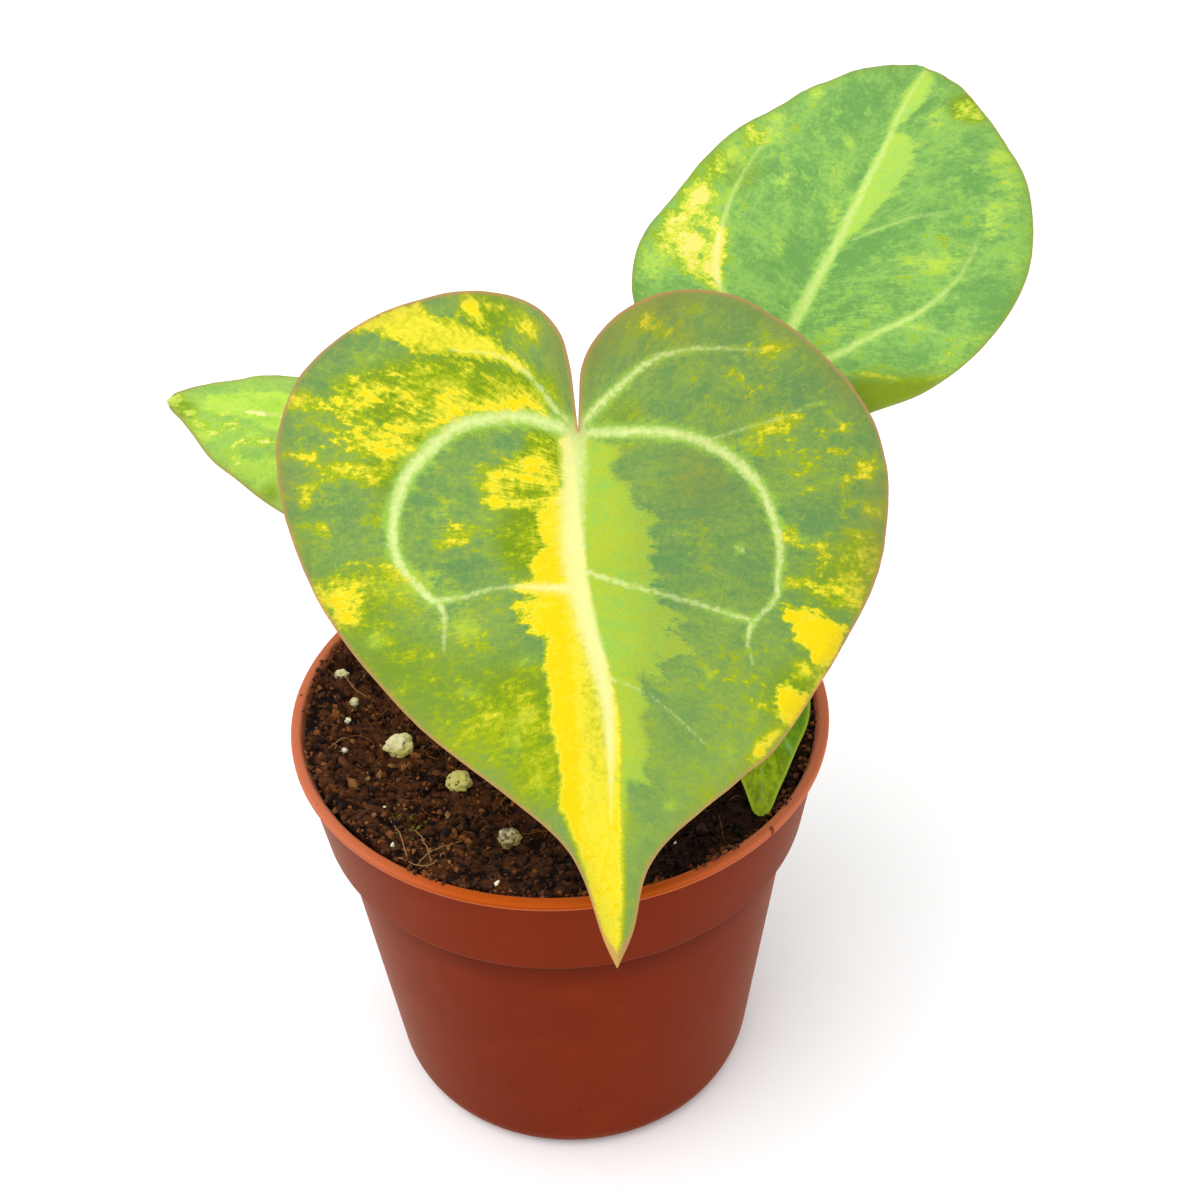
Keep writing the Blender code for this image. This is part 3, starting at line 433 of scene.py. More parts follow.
BACK = Leaf(
    name="back",
    notch=(22.9, 9.0, 88.8),
    tip=(42.2, 42.0, 108.0),
    droop=36,
    arch=60,
    roll=0,
    wave=0.3,
    right=[
        (0, 0), (0.25, -2.5), (1.2, -5), (4, -6.8), (8.5, -6.6), (13.5, -3), (17.8, 3),
        (20.6, 8.6), (21.2, 14), (19.8, 19.7), (16.6, 27.5), (10.8, 36), (5.6, 40.4),
        (2, 42.8), (0, 43.8),
    ],
    left=[
        (0, 0), (-0.25, -2.2), (-1.2, -4), (-3.6, -5.1), (-7.5, -4.2), (-11.4, -1.3),
        (-16.3, 2.9), (-19.8, 8.8), (-21.4, 15.5), (-20.9, 22.2), (-17.7, 29.2),
        (-11.8, 35.8), (-6.2, 40.4), (-2.5, 42.6), (0, 43.8),
    ],
    foot_angle=50,
    stalk_end=(0.1, -0.05, 0.99),
    stalk_scale=1.0,
    columns=200,
    rows=60,
    veins=[
        ((0.5, 0.36, 0.1), [
            (0, 0), (-0.7, 5.3), (-1.3, 11), (-1.8, 18), (-1.8, 28), (-1.2, 36), (-1, 43),
        ]),
        ((0.34, 0.24, 0.03), [
            (0.8, 0.6), (5, 4), (8.6, 7.7), (11, 11.6), (12.3, 17.5), (12.4, 22.7),
            (11.8, 28.6), (12, 32.2),
        ]),
        ((0.34, 0.24, 0.04), [
            (-0.8, 0.4), (-5.4, 3), (-9.4, 7.2), (-12.5, 10.4), (-14.8, 15), (-15.4, 19.3),
            (-15.2, 22),
        ]),
        ((0.1, 0.12, 0.02), [(-3.2, 16.6), (-6.1, 19.2), (-8.3, 21), (-12.8, 24)]),
        ((0.12, 0.1, 0.02), [(-11.8, 8.8), (-14.1, 9.2), (-16.5, 9.2)]),
        ((0.3, 0.25, 0.02), [(0.5, -0.3), (3.5, -3.2), (9, -3.4), (13, 0.5)]),
        ((0.3, 0.25, 0.02), [(-0.5, -0.3), (-3.2, -2.4), (-8, -1.2), (-13, 3)]),
    ],
    yellow_areas=[],
    yellow_patches=[
        (16.8, 18.7, 2.4, 1.7, 73, 1.5), (17.4, 13.5, 2.6, 1.7, 60, 1.3),
        (13.6, 11.4, 2.6, 1.6, 53, 1.6), (11.2, 13.2, 3, 0.8, 66, 1.6),
        (10.1, 9, 1.8, 0.9, 60, 1.3), (13.6, 28.4, 2, 1.3, 53, 0.9),
        (15.6, 22.8, 1.5, 0.5, 64, 0.7), (-16.4, 4.4, 1.8, 0.3, -30, 1.1),
        (-11.2, 2.8, 2.2, 0.3, -10, 1.1), (-9.2, 36.7, 1, 0.7, 0, 0.5),
        (14.2, 16, 2.4, 1, 60, 0.7), (-4.3, 4.9, 2.4, 0.6, -40, 0.5),
    ],
    lime_areas=[
        [
            (-1.6, 31.5), (-3.3, 31.4), (-5, 29.8), (-5.7, 26.1), (-5.2, 23.6), (-4.3, 20.7),
            (-3.4, 17.6), (-1.8, 15.5), (-1.6, 24),
        ],
        [(-1, 32), (-2.4, 33.4), (-3, 37), (-2.6, 41.4), (-0.6, 43.4), (-0.6, 38)],
    ],
    lime_patches=[
        (3.9, 13.6, 1.8, 0.9, 67, 0.5), (6.8, 22, 2.4, 1, 66, 0.7),
        (1.7, 24.1, 1.6, 0.7, 67, 0.7), (2.1, 28.4, 0.9, 0.6, 67, 0.6),
        (-0.4, 18.6, 1.8, 0.8, 68, 0.7), (9, 35.5, 1.4, 1, 66, 0.9),
        (11.8, 30, 3.6, 1.4, 65, 0.8), (18.4, 9.5, 2.6, 2.2, 0, 0.9),
        (14.8, 25, 2.6, 1.4, 60, 0.7), (-13.9, 31.6, 1.8, 1.2, 70, 0.8),
        (-16.4, 28, 2.6, 0.9, 70, 0.6), (-15.6, 24, 2.2, 1, 70, 0.8),
        (-12.4, 16.6, 3.4, 1.3, -27, 0.8), (-7.7, 9.1, 2.2, 0.8, -45, 0.6),
        (-4.7, 5.4, 2.4, 0.8, -48, 0.6), (-18.6, 9.5, 1.4, 1, -22, 0.5),
        (-17.2, 6, 2.2, 1, -41, 0.6), (-5.6, 34.4, 2, 1.2, 70, 0.6),
        (-19.8, 20, 1.4, 0.8, 60, 0.4), (14, 16, 5, 3, 64, 0.6),
    ],
    olive_tones=[
        (-8, 37.6, 2.4, 1.1), (-12.8, 1.2, 3, 0.5), (11.6, 22, 3, 0.4), (16, 24, 3, 0.5),
        (-13.6, 31, 2, 0.3), (0.7, 13, 4, -0.5), (5, 23, 3, -0.4), (-5.7, 15.6, 3, -0.5),
        (-18.6, 16, 3, -0.3), (-14.5, 6.4, 1.6, -0.5), (3.9, 34, 4, -0.4),
        (-12.3, 27.5, 1.6, -0.6), (5, 5, 4, -0.2),
    ],
    fleck_zones=[
        (15, 15, 6, 1), (13, 27, 5, 0.9), (-15, 28, 4.5, 0.9), (-15, 22, 4.5, 0.7),
        (-10, 14, 5, 0.7), (-6, 7, 4, 0.7), (-17, 8, 4.5, 0.8), (-13, 2, 4, 0.6),
        (5, 22, 4, 0.6), (8, 34, 5, 0.6), (-5, 35, 4, 0.8),
    ],
    palette=dict(
        deep=(114, 168, 84), mid=(158, 208, 98), moss=(122, 150, 12), olive=(148, 182, 30),
        fleck=(196, 222, 70), halo=(176, 224, 102), lime=(194, 228, 80),
        yellow=(236, 236, 76), amber=(252, 240, 124), cream=(252, 250, 160),
        vein=(218, 240, 138), tan=(128, 150, 14), margin=(150, 158, 72),
    ),
    tan_zones=[(-12.8, 0.6, 2.6, 1), (-15.8, 2.2, 2.4, 0.8), (-9.7, 0.8, 2, 0.7)],
)

LEFT = Leaf(
    name="left",
    notch=(-7.7, 14.0, 78.3),
    tip=(-41.9, 18.0, 82.3),
    droop=8,
    arch=20,
    roll=-4,
    wave=0.3,
    right=[
        (0, 0), (0.2, -2.4), (1.2, -4.8), (4.5, -6.6), (8.8, -6), (12.8, -2.6), (15.3, 2.6),
        (15.6, 9), (14.6, 15), (12.5, 20.5), (10.2, 24.5), (8.2, 27.7), (5, 30.6), (2.8, 32.6),
        (1.3, 34), (0, 34.6),
    ],
    left=[
        (0, 0), (-0.2, -2.4), (-1.2, -4.8), (-4.5, -6.6), (-8.8, -6), (-12.8, -2.6),
        (-15, 2.6), (-15, 9), (-13.2, 15), (-10.2, 20.5), (-7.6, 24.5), (-5.6, 28), (-4, 31),
        (-2.9, 33), (-1.5, 34.2), (0, 34.6),
    ],
    foot_angle=148,
    stalk_end=(-0.2, 0.1, 0.97),
    stalk_scale=0.9,
    columns=160,
    rows=44,
    veins=[
        ((0.6, 0.4, 0.05), [(0, 0), (0.2, 10), (0.4, 18), (0.3, 26), (-0.6, 33)]),
        ((0.4, 0.35, 0.05), [(0.6, 0.4), (4.5, 1), (8.5, 4.5), (9.6, 9), (8.4, 14), (5.5, 19)]),
        ((0.4, 0.35, 0.05), [(-0.6, 0.4), (-4.5, 1), (-8.5, 4.5), (-9.6, 9), (-8, 14), (-5, 19)]),
        ((0.25, 0.2, 0.02), [(0.4, -0.3), (3.4, -3), (8, -2.4), (11.6, 1)]),
        ((0.25, 0.2, 0.02), [(-0.4, -0.3), (-3.4, -3), (-8, -2.4), (-11.6, 1)]),
    ],
    yellow_patches=[
        (0.6, 23, 2, 0.9, 88, 1), (3.6, 30.2, 1.2, 0.8, -61, 1), (5.1, 22.6, 1.2, 0.4, 82, 1),
        (0.8, 25, 1.6, 0.3, 88, 1), (8.4, 24.3, 1.3, 0.3, -60, 1), (-0.7, 34, 1.2, 0.8, 0, 1),
        (9.9, 25.2, 1.2, 0.25, -61, 1), (3, 27, 0.9, 0.3, 80, 1), (6, 12, 3, 0.8, 70, 1),
        (-5, 8, 3, 0.7, 110, 1), (-8, 16, 2, 0.6, 110, 1),
    ],
    lime_areas=[
        [
            (-1.6, 30.6), (-2.8, 27), (-3.4, 22), (-2, 14), (0, 12), (3, 16),
            (3.2, 22), (1.6, 26), (1.2, 29), (1, 30.6),
        ],
        [(8.6, 21), (10.6, 22.4), (9, 25.4), (7.6, 25), (7.4, 22)],
    ],
    lime_patches=[
        (5.4, 29.2, 1.6, 0.6, -61, 0.9), (4.3, 24.6, 1.4, 0.5, 82, 0.9),
        (7.6, 21.5, 1.6, 0.7, 80, 0.9), (9, 8, 3, 1, 80, 0.9), (-9, 10, 3, 1, 100, 0.9),
    ],
    olive_tones=[(0.8, 33.2, 2, 0.8), (11.2, 20.8, 1.4, 0.6), (2, 31.6, 0.7, 1.6)],
    fleck_zones=[(4, 27, 4, 0.9), (7, 23, 4, 0.9), (0, 26, 4, 0.8), (0, 10, 12, 0.6)],
    palette=dict(
        deep=(146, 200, 92), mid=(184, 222, 88), olive=(160, 206, 34), fleck=(204, 234, 84),
        halo=(176, 226, 80), lime=(206, 242, 84), yellow=(242, 246, 116), amber=(252, 250, 160),
        cream=(252, 250, 186), vein=(212, 240, 110), margin=(170, 150, 84),
    ),
)

SMALL_HALF = [
    (0, 0), (0.2, -1), (1.2, -2.2), (2.9, -1.6), (4.3, 1.5), (4.9, 5.5), (4.8, 9.5),
    (3.4, 13.2), (1.9, 16.6), (0.9, 19.2), (0, 19.9),
]

SMALL = Leaf(
    name="small",
    notch=(22.0, -5.0, 66.0),
    tip=(21.0, -18.0, 51.4),
    droop=25,
    arch=20,
    roll=0,
    wave=0.15,
    right=SMALL_HALF,
    left=[(-across, along) for across, along in SMALL_HALF],
    foot_angle=-18,
    stalk_end=(0.45, -0.35, 0.82),
    stalk_scale=0.62,
    columns=90,
    rows=20,
    veins=[
        ((0.2, 0.12, 0.0), [(0, 0), (0, 10), (0, 19)]),
        ((0.06, 0.05, 0.0), [(0.4, 0.6), (2.6, 3.5), (3.3, 8.5)]),
        ((0.06, 0.05, 0.0), [(-0.4, 0.6), (-2.6, 3.5), (-3.3, 8.5)]),
        ((0.02, 0.22, 0.02), [(2.2, 11.2), (2.8, 12.2), (3.3, 13.4)]),
    ],
    lime_patches=[
        (0.2, 18.6, 2, 0.9, 90, 0.9), (1.2, 15.6, 1.6, 0.35, 100, 0.9),
    ],
    olive_tones=[(0, 18, 4, 0.9), (0.4, 13.5, 2.6, 0.4)],
    fleck_zones=[(0.5, 15, 3, 0.35)],
    palette=dict(
        deep=(76, 146, 4), mid=(138, 182, 4), olive=(176, 204, 8), fleck=(170, 206, 20),
        halo=(140, 190, 24), lime=(188, 212, 20), yellow=(214, 224, 30), amber=(220, 226, 40),
        cream=(210, 232, 90), vein=(176, 216, 150), margin=(190, 214, 60),
    ),
)

LEAVES = (FRONT, BACK, LEFT, SMALL)


# Working out surfaces


def unit(vector):
    return np.array(vector, float) / np.linalg.norm(vector)


def full_turn(sides):
    """Even angles round a circle."""
    return np.arange(sides) * math.tau / sides


def polar(radius, angle):
    """Flat places (x, y) at a radius and an angle."""
    return np.stack([radius * np.cos(angle), radius * np.sin(angle)], axis=-1)


def raised(flat, height):
    """Points over flat places (x, y), with one height for all or one for each."""
    height = np.broadcast_to(height, flat.shape[:-1])
    return np.concatenate([flat, height[..., None]], axis=-1)


def smooth_curve(points, count):
    """A Catmull-Rom curve through the points, read at even steps of its length."""
    points = np.array(points, float)
    first = 2 * points[0] - points[1]
    last = 2 * points[-1] - points[-2]
    padded = np.vstack([first, points, last])
    t = np.linspace(0, 1, 12, endpoint=False)[:, None]
    spans = []
    for a, b, c, d in zip(padded, padded[1:], padded[2:], padded[3:]):
        curve = 2 * b + (c - a) * t + (2 * a - 5 * b + 4 * c - d) * t**2
        spans.append(0.5 * (curve + (3 * b - a - 3 * c + d) * t**3))
    fine = np.vstack([*spans, points[-1:]])
    gaps = np.linalg.norm(np.diff(fine, axis=0), axis=1)
    length = np.concatenate([[0], np.cumsum(gaps)])
    even = np.linspace(0, length[-1], count)
    return np.stack([np.interp(even, length, axis) for axis in fine.T], axis=1)


def lattice_noise(places, seed):
    """Noise of -1 to 1: a random value at each whole-numbered place, eased in between."""
    base = np.floor(places).astype(np.int64)
    part = places - base
    ease = part * part * (3 - 2 * part)
    total = np.zeros(places.shape[:-1])
    for corner in np.ndindex(2, 2, 2):
        step = np.array(corner)
        key = (base + step) @ HASH_STEPS + seed * HASH_SEED
        key = ((key ^ (key >> 13)) * HASH_SPREAD) & 0xFFFFFFFF
        key ^= key >> 15
        value = (key & 0xFFFF) / 32767.5 - 1
        total += value * np.prod(np.where(step == 1, ease, 1 - ease), axis=-1)
    return total


def layered_noise(places, seed, layers=3):
    """Noise with finer and weaker noise on it, each layer half the size of the last."""
    return sum(lattice_noise(places * 2**k, seed + k) / 2**k for k in range(layers))


def smooth_step(values, low, high):
    """0 below low, 1 above high, and an eased rise between them."""
    share = np.clip((values - low) / (high - low), 0, 1)
    return share * share * (3 - 2 * share)


def closed_rings(rings):
    """Points and faces of closed tubes, from their points in order of tube, ring and side.

    Neighbouring rings are joined by quads, and a point in the middle of the first and of
    the last ring closes each end.
    """
    many, count, sides = rings.shape[:3]
    ends = np.stack([rings[:, 0].mean(axis=1), rings[:, -1].mean(axis=1)], axis=1)
    points = np.concatenate([rings.reshape(many, -1, 3), ends], axis=1)
    number = np.arange(count * sides).reshape(count, sides)
    after = np.roll(number, -1, axis=1)
    walls = np.stack([number[:-1], after[:-1], after[1:], number[1:]], axis=2).reshape(-1, 4)
    foot = np.stack([after[0], number[0], np.full(sides, count * sides)], axis=1)
    head = np.stack([number[-1], after[-1], np.full(sides, count * sides + 1)], axis=1)
    starts = np.arange(many)[:, None, None] * (count * sides + 2)
    walls = (walls + starts).reshape(-1, 4)
    caps = (np.vstack([foot, head]) + starts).reshape(-1, 3)
    return points.reshape(-1, 3), walls.tolist() + caps.tolist()


def tubes(paths, radii, sides, aside):
    """Closed round tubes along paths of (tube, step) points.

    A ring's points are the step's place, plus its radius times the cosine and sine of an
    even turn, along two directions square to the path. The first is aside less its part
    along the path.
    """
    ahead = np.gradient(paths, axis=1)
    ahead /= np.linalg.norm(ahead, axis=2)[:, :, None]
    across = aside - ahead * (ahead @ np.array(aside))[:, :, None]
    across /= np.linalg.norm(across, axis=2)[:, :, None]
    over = np.cross(ahead, across)
    turn = full_turn(sides)[:, None]
    ring = np.cos(turn) * across[:, :, None] + np.sin(turn) * over[:, :, None]
    return closed_rings(paths[:, :, None] + radii[:, :, None, None] * ring)


def turned(profile, sides):
    """Rings of a profile of (radius, height) carried round the pot's axis."""
    radius, height = np.array(profile).T[:, :, None]
    return raised(polar(radius, full_turn(sides)), height)


def ball(tilts, sides):
    """Rings of a ball of radius 1, one for each angle from straight up."""
    return turned(np.stack([np.sin(tilts), np.cos(tilts)], axis=1), sides)


def rounded(corners, steps=5):
    """A profile whose corners (radius, height, cut) are rounded.

    Each corner becomes a parabola between the places that lie cut away from it on its
    two straight sides. The ends stay as they are.
    """
    corners = np.array(corners, float)
    places = corners[:, :2]
    t = np.linspace(0, 1, steps)[:, None]
    line = [places[:1]]
    for before, corner, after, cut in zip(places, places[1:], places[2:], corners[1:-1, 2]):
        start = corner + unit(before - corner) * cut
        end = corner + unit(after - corner) * cut
        bend = (1 - t) ** 2 * start + 2 * (1 - t) * t * corner + t**2 * end
        line.append(bend if cut > 0 else corner[None])
    line.append(places[-1:])
    return np.vstack(line)


def slab(outer, inner):
    """Points and faces of a closed sheet between two grids of the same size."""
    rows, wide = outer.shape[:2]
    count = rows * wide
    number = np.arange(count).reshape(rows, wide)
    corners = [number[:-1, :-1], number[:-1, 1:], number[1:, 1:], number[1:, :-1]]
    face = np.stack(corners, axis=2).reshape(-1, 4)
    loop = np.concatenate([
        number[0, :], number[1:, -1], number[-1, -2::-1], number[-2::-1, 0],
    ])
    rim = np.stack([loop[1:], loop[:-1], loop[:-1] + count, loop[1:] + count], axis=1)
    points = np.vstack([outer.reshape(-1, 3), inner.reshape(-1, 3)])
    return points, face.tolist() + (face[:, ::-1] + count).tolist() + rim.tolist()


def new_mesh(name, points, faces):
    mesh = bpy.data.meshes.new(name)
    mesh.from_pydata(points.tolist(), [], faces)
    return mesh


def new_object(name, data):
    """A new object at the origin, linked to the scene."""
    made = bpy.data.objects.new(name, data)
    bpy.context.scene.collection.objects.link(made)
    return made


def shade(mesh, sharp):
    """Smooth shading, but sharp where faces meet at more than so many degrees."""
    mesh.shade_smooth()
    mesh.set_sharp_from_angle(angle=math.radians(sharp))


def add_piece(name, points, faces, finish, nodes=(), sharp=50, marks=None):
    """A new piece from points and faces, which rides on the plant and stands for nodes.

    Marks are values per point for the finish to read: a number or three for each.
    """
    mesh = new_mesh(name, points, faces)
    mesh.update()
    for mark, values in (marks or {}).items():
        kind, key = ("FLOAT_VECTOR", "vector") if values.ndim == 2 else ("FLOAT", "value")
        layer = mesh.attributes.new(mark, kind, "POINT")
        layer.data.foreach_set(key, values.astype(np.float32).ravel())
    shade(mesh, sharp)
    mesh.materials.append(finish)
    piece = new_object(name, mesh)
    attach(piece, "root")
    if nodes:
        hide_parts(*nodes)
    return piece


# Finishes


class Wire:
    """A node's output, whose sums and products become math nodes."""

    def __init__(self, nodes, socket):
        self.nodes = nodes
        self.socket = socket

    def __add__(self, other):
        return self.nodes.math("ADD", self, other)

    def __sub__(self, other):
        return self.nodes.math("SUBTRACT", self, other)

    def __rsub__(self, other):
        return self.nodes.math("SUBTRACT", other, self)

    def __mul__(self, other):
        return self.nodes.math("MULTIPLY", self, other)


class Nodes:
    """Adds nodes to a tree, with inputs given as constants or as wires to link."""

    def __init__(self, tree):
        self.tree = tree
        tree.nodes.clear()

    def feed(self, node, inputs):
        for key, value in inputs.items():
            socket = node.inputs[key]
            if isinstance(value, Wire):
                self.tree.links.new(value.socket, socket)
            elif socket.type == "RGBA":
                socket.default_value = (*value[:3], 1.0)
            else:
                socket.default_value = value

    def add(self, kind, inputs=None, **settings):
        node = self.tree.nodes.new(kind)
        place = len(self.tree.nodes)
        node.location = (200 * (place % 10), -300 * (place // 10))
        for key, value in settings.items():
            setattr(node, key, value)
        self.feed(node, inputs or {})
        return node

    def wires(self, kind, inputs=None, **settings):
        """All outputs of a new node, by name."""
        outputs = self.add(kind, inputs, **settings).outputs
        return {socket.name: Wire(self, socket) for socket in outputs}

    def wire(self, kind, inputs=None, output=0, **settings):
        """One output of a new node."""
        return Wire(self, self.add(kind, inputs, **settings).outputs[output])

    def mark(self, name, output="Fac"):
        return self.wire("ShaderNodeAttribute", output=output, attribute_name=name)

    def object_place(self):
        return self.wire("ShaderNodeTexCoord", output="Object")

    def split(self, vector):
        return self.wires("ShaderNodeSeparateXYZ", {"Vector": vector}).values()

    def math(self, operation, *values):
        return self.wire("ShaderNodeMath", dict(enumerate(values)), operation=operation)

    def stretch(self, place, scale):
        return self.wire("ShaderNodeVectorMath", {0: place, 1: scale}, operation="MULTIPLY")

    def noise(self, place, scale, detail):
        inputs = {"Vector": place, "Scale": scale, "Detail": detail, "Roughness": 0.6}
        return self.wire("ShaderNodeTexNoise", inputs, "Fac")

    def step(self, value, low, high):
        """0 below low, 1 above high, and an eased rise between them."""
        inputs = {"Value": value, "From Min": low, "From Max": high}
        return self.wire("ShaderNodeMapRange", inputs, "Result", interpolation_type="SMOOTHSTEP")

    def blend(self, share, first, second):
        inputs = {0: share, 2: first, 3: second}
        return self.wire("ShaderNodeMix", inputs, data_type="FLOAT")

    def mix(self, share, first, second, blend="MIX"):
        inputs = {0: share, 6: first, 7: second}
        return self.wire("ShaderNodeMix", inputs, 2, data_type="RGBA", blend_type=blend)

    def layers(self, value, colour, *tints):
        """A colour, and tints (low, high, colour) over it as the value rises through each."""
        for low, high, tint in tints:
            colour = self.mix(self.step(value, low, high), colour, tint)
        return colour


class Finish(Nodes):
    """A new material, whose nodes feed one Principled shader."""

    def __init__(self, name, roughness, constants=None):
        self.material = bpy.data.materials.new(name)
        self.material.use_nodes = True
        super().__init__(self.material.node_tree)
        inputs = {"Roughness": roughness, **(constants or {})}
        self.shader = self.add("ShaderNodeBsdfPrincipled", inputs)
        self.add("ShaderNodeOutputMaterial", {"Surface": Wire(self, self.shader.outputs[0])})

    def bump(self, height, distance):
        """Raises the surface by the height times a distance in metres."""
        inputs = {"Height": height, "Distance": distance, "Strength": 1.0}
        self.feed(self.shader, {"Normal": self.wire("ShaderNodeBump", inputs)})

    def coloured(self, colour):
        """The finished material, in its colour."""
        self.feed(self.shader, {"Base Color": colour})
        return self.material


LEAF_COLOURS = (
    "Deep", "Mid", "Moss", "Olive", "Fleck", "Halo", "Lime", "Yellow", "Amber", "Cream",
    "Vein", "Tan", "Margin", "Underside",
)


def variegation_group():
    """Leaf colours and relief, from the marks on a blade.

    A level of 0 to 1 says how little green the skin holds, from deep green through mid
    green, olive and lime flecks to yellow and amber. Noise stretched along the lateral
    veins mottles it, and the marks raise it. In the yellow it rises away from the midrib
    and toward the tip. Over that lie the bright green beside the veins, the lime areas,
    which turn green away from the midrib, the veins, and the tan and coloured margin.
    """
    group = bpy.data.node_groups.new("Leaf variegation", "ShaderNodeTree")
    sockets = [("INPUT", colour, "Color") for colour in LEAF_COLOURS]
    sockets += [("INPUT", "Paler From", "Float"), ("OUTPUT", "Color", "Color")]
    sockets += [("OUTPUT", "Height", "Float"), ("OUTPUT", "Roughness", "Float")]
    for direction, label, kind in sockets:
        group.interface.new_socket(label, in_out=direction, socket_type=f"NodeSocket{kind}")
    nodes = Nodes(group)
    given = nodes.wires("NodeGroupInput")
    place = nodes.mark("blade_place", "Vector")
    run = nodes.mark("blade_run", "Vector")
    across, along, under = nodes.split(place)
    from_rib = nodes.math("ABSOLUTE", across)
    swell = nodes.mark("swell")
    olive = nodes.mark("olive_tone")
    edge = nodes.mark("edge_gap")

    broad = nodes.noise(nodes.stretch(run, (0.22, 0.12, 9)), 1, 3) - 0.5
    streak = nodes.noise(nodes.stretch(run, (1, 0.32, 7)), 1, 5) - 0.5
    thread = nodes.noise(nodes.stretch(run, (3.4, 0.9, 5)), 1, 4) - 0.5
    blob = nodes.noise(place, 0.5, 4) - 0.5
    speckle = nodes.noise(place, 1.7, 4) - 0.5
    grain = nodes.noise(place, 4.5, 3) - 0.5
    paler = nodes.step(along, given["Paler From"], given["Paler From"] + 14)
    ragged = (streak + thread * 0.6 + blob * 0.7 + speckle * 0.5) * (1 - paler * 0.35)

    level = broad * 0.6 + ragged * 0.45 + speckle * 0.22 + grain * 0.14 + paler * 0.12 + 0.18
    level += nodes.step(olive, 0, 1) * ragged * 0.35 + olive * 0.24
    level += nodes.mark("fleck_share") * nodes.step(ragged, 0.02, 0.3) * 0.3
    level += nodes.mark("yellow_dapple") * (ragged + 0.5)
    level = nodes.math("MINIMUM", level, 0.98)

    torn = ragged * (nodes.step(from_rib, 1.5, 7) * 2.2 + 0.45) + grain * 0.3
    yellow_edge = nodes.mark("yellow_reach") + torn
    level = nodes.math("MAXIMUM", level, nodes.step(yellow_edge, -1, -0.2) * 0.5)
    is_yellow = nodes.step(yellow_edge, -0.4, 0.35)
    ripe = nodes.step(from_rib, 0.6, 3.4) * nodes.step(along, 0, 16)
    ripe = nodes.math("MAXIMUM", ripe, nodes.step(along, 30, 40) * 0.55)
    level = nodes.blend(is_yellow, level, ripe * 0.26 + ragged * 0.4 + speckle * 0.35 + 0.74)
    past_green = nodes.step(level, 0.45, 0.75)
    green = 1 - past_green

    colour = nodes.layers(level, given["Deep"], (-0.02, 0.4, given["Mid"]))
    colour = nodes.mix(nodes.step(olive, 0.05, 0.8) * 0.9, colour, given["Moss"])
    colour = nodes.layers(
        level, colour, (0.28, 0.48, given["Olive"]), (0.42, 0.62, given["Fleck"]),
        (0.58, 0.84, given["Yellow"]), (0.8, 1, given["Amber"]),
    )
    near_vein = ragged * 0.5 + swell
    halo = nodes.step(near_vein, 0, 0.34) * nodes.step(swell, 0, 0.08) * green * 0.85
    colour = nodes.mix(halo, colour, given["Halo"])

    lime_edge = nodes.step(nodes.mark("lime_reach") + torn, -0.5, 0.45)
    ripple = broad * 1.8 + ragged * 1.3 + speckle * 0.8
    lime_tint = nodes.layers(ripple, given["Halo"], (-0.55, 0.35, given["Lime"]))
    outer = (nodes.step(from_rib, 1.8, 7.2) + ragged * 0.4) * lime_edge * 0.5
    lime_tint = nodes.mix(outer, lime_tint, given["Mid"])
    dappled = nodes.step(nodes.mark("lime_dapple") * (ragged * 2.2 + 0.75), 0, 0.9)
    is_lime = nodes.math("MAXIMUM", lime_edge, dappled) * green * 0.95
    colour = nodes.mix(is_lime, colour, lime_tint)
    pale = nodes.step(near_vein, 0, 0.5) * nodes.step(swell, 0, 0.1) * is_yellow * 0.7
    colour = nodes.mix(pale, colour, given["Cream"])

    soft = nodes.mark("vein_gap") + speckle * 1.1 + ragged * 0.5 + grain * 0.6
    on_vein = 1 - nodes.step(soft, swell * -1.4, swell * 0.75 + 0.12)
    clear = nodes.step(swell, 0.02, 0.3) * 0.58 + 0.3
    vein_tint = nodes.mix(past_green, given["Vein"], given["Cream"])
    colour = nodes.mix(on_vein * clear, colour, vein_tint)

    tan_rim = 1 - nodes.step(edge + blob * 3, 0.2, 3)
    tan_share = nodes.step(nodes.mark("tan_tone") + tan_rim * 0.3 + ragged * 0.3, 0, 1)
    colour = nodes.mix(tan_share * 0.9, colour, given["Tan"])
    rim = 1 - nodes.step(edge + grain * 0.6 - nodes.step(along, 48, 52) * 0.6, 0.05, 0.5)
    colour = nodes.mix(rim * 0.7, colour, given["Margin"])
    grey = dict.fromkeys(("Red", "Green", "Blue"), grain * 0.35 + 1)
    shaded = nodes.wire("ShaderNodeCombineColor", grey)
    colour = nodes.mix(1, colour, shaded, "MULTIPLY")
    colour = nodes.mix(under * 0.6, colour, given["Underside"])

    height = nodes.noise(place, 9, 2) * 0.5 + thread * 0.6
    skin = {"Color": colour, "Height": height, "Roughness": grain * 0.12 + 0.56}
    nodes.add("NodeGroupOutput", skin)
    return group


def leaf_finish(leaf, variegation, settings):
    """Velvety leaf skin, in the leaf's own colours."""
    nodes = Finish(f"Velvet leaf {leaf.name}", 0.55, {"Specular IOR Level": 0.08})
    inputs = {"Paler From": leaf.calm_from}
    for colour in LEAF_COLOURS:
        own = leaf.palette.get(colour.lower())
        inputs[colour] = display(*own) if own else getattr(settings, colour.lower())
    skin = nodes.wires("ShaderNodeGroup", inputs, node_tree=variegation)
    nodes.feed(nodes.shader, {"Roughness": skin["Roughness"]})
    nodes.bump(skin["Height"], 0.05 * MM)
    return nodes.coloured(skin["Color"])


# Leaf blades


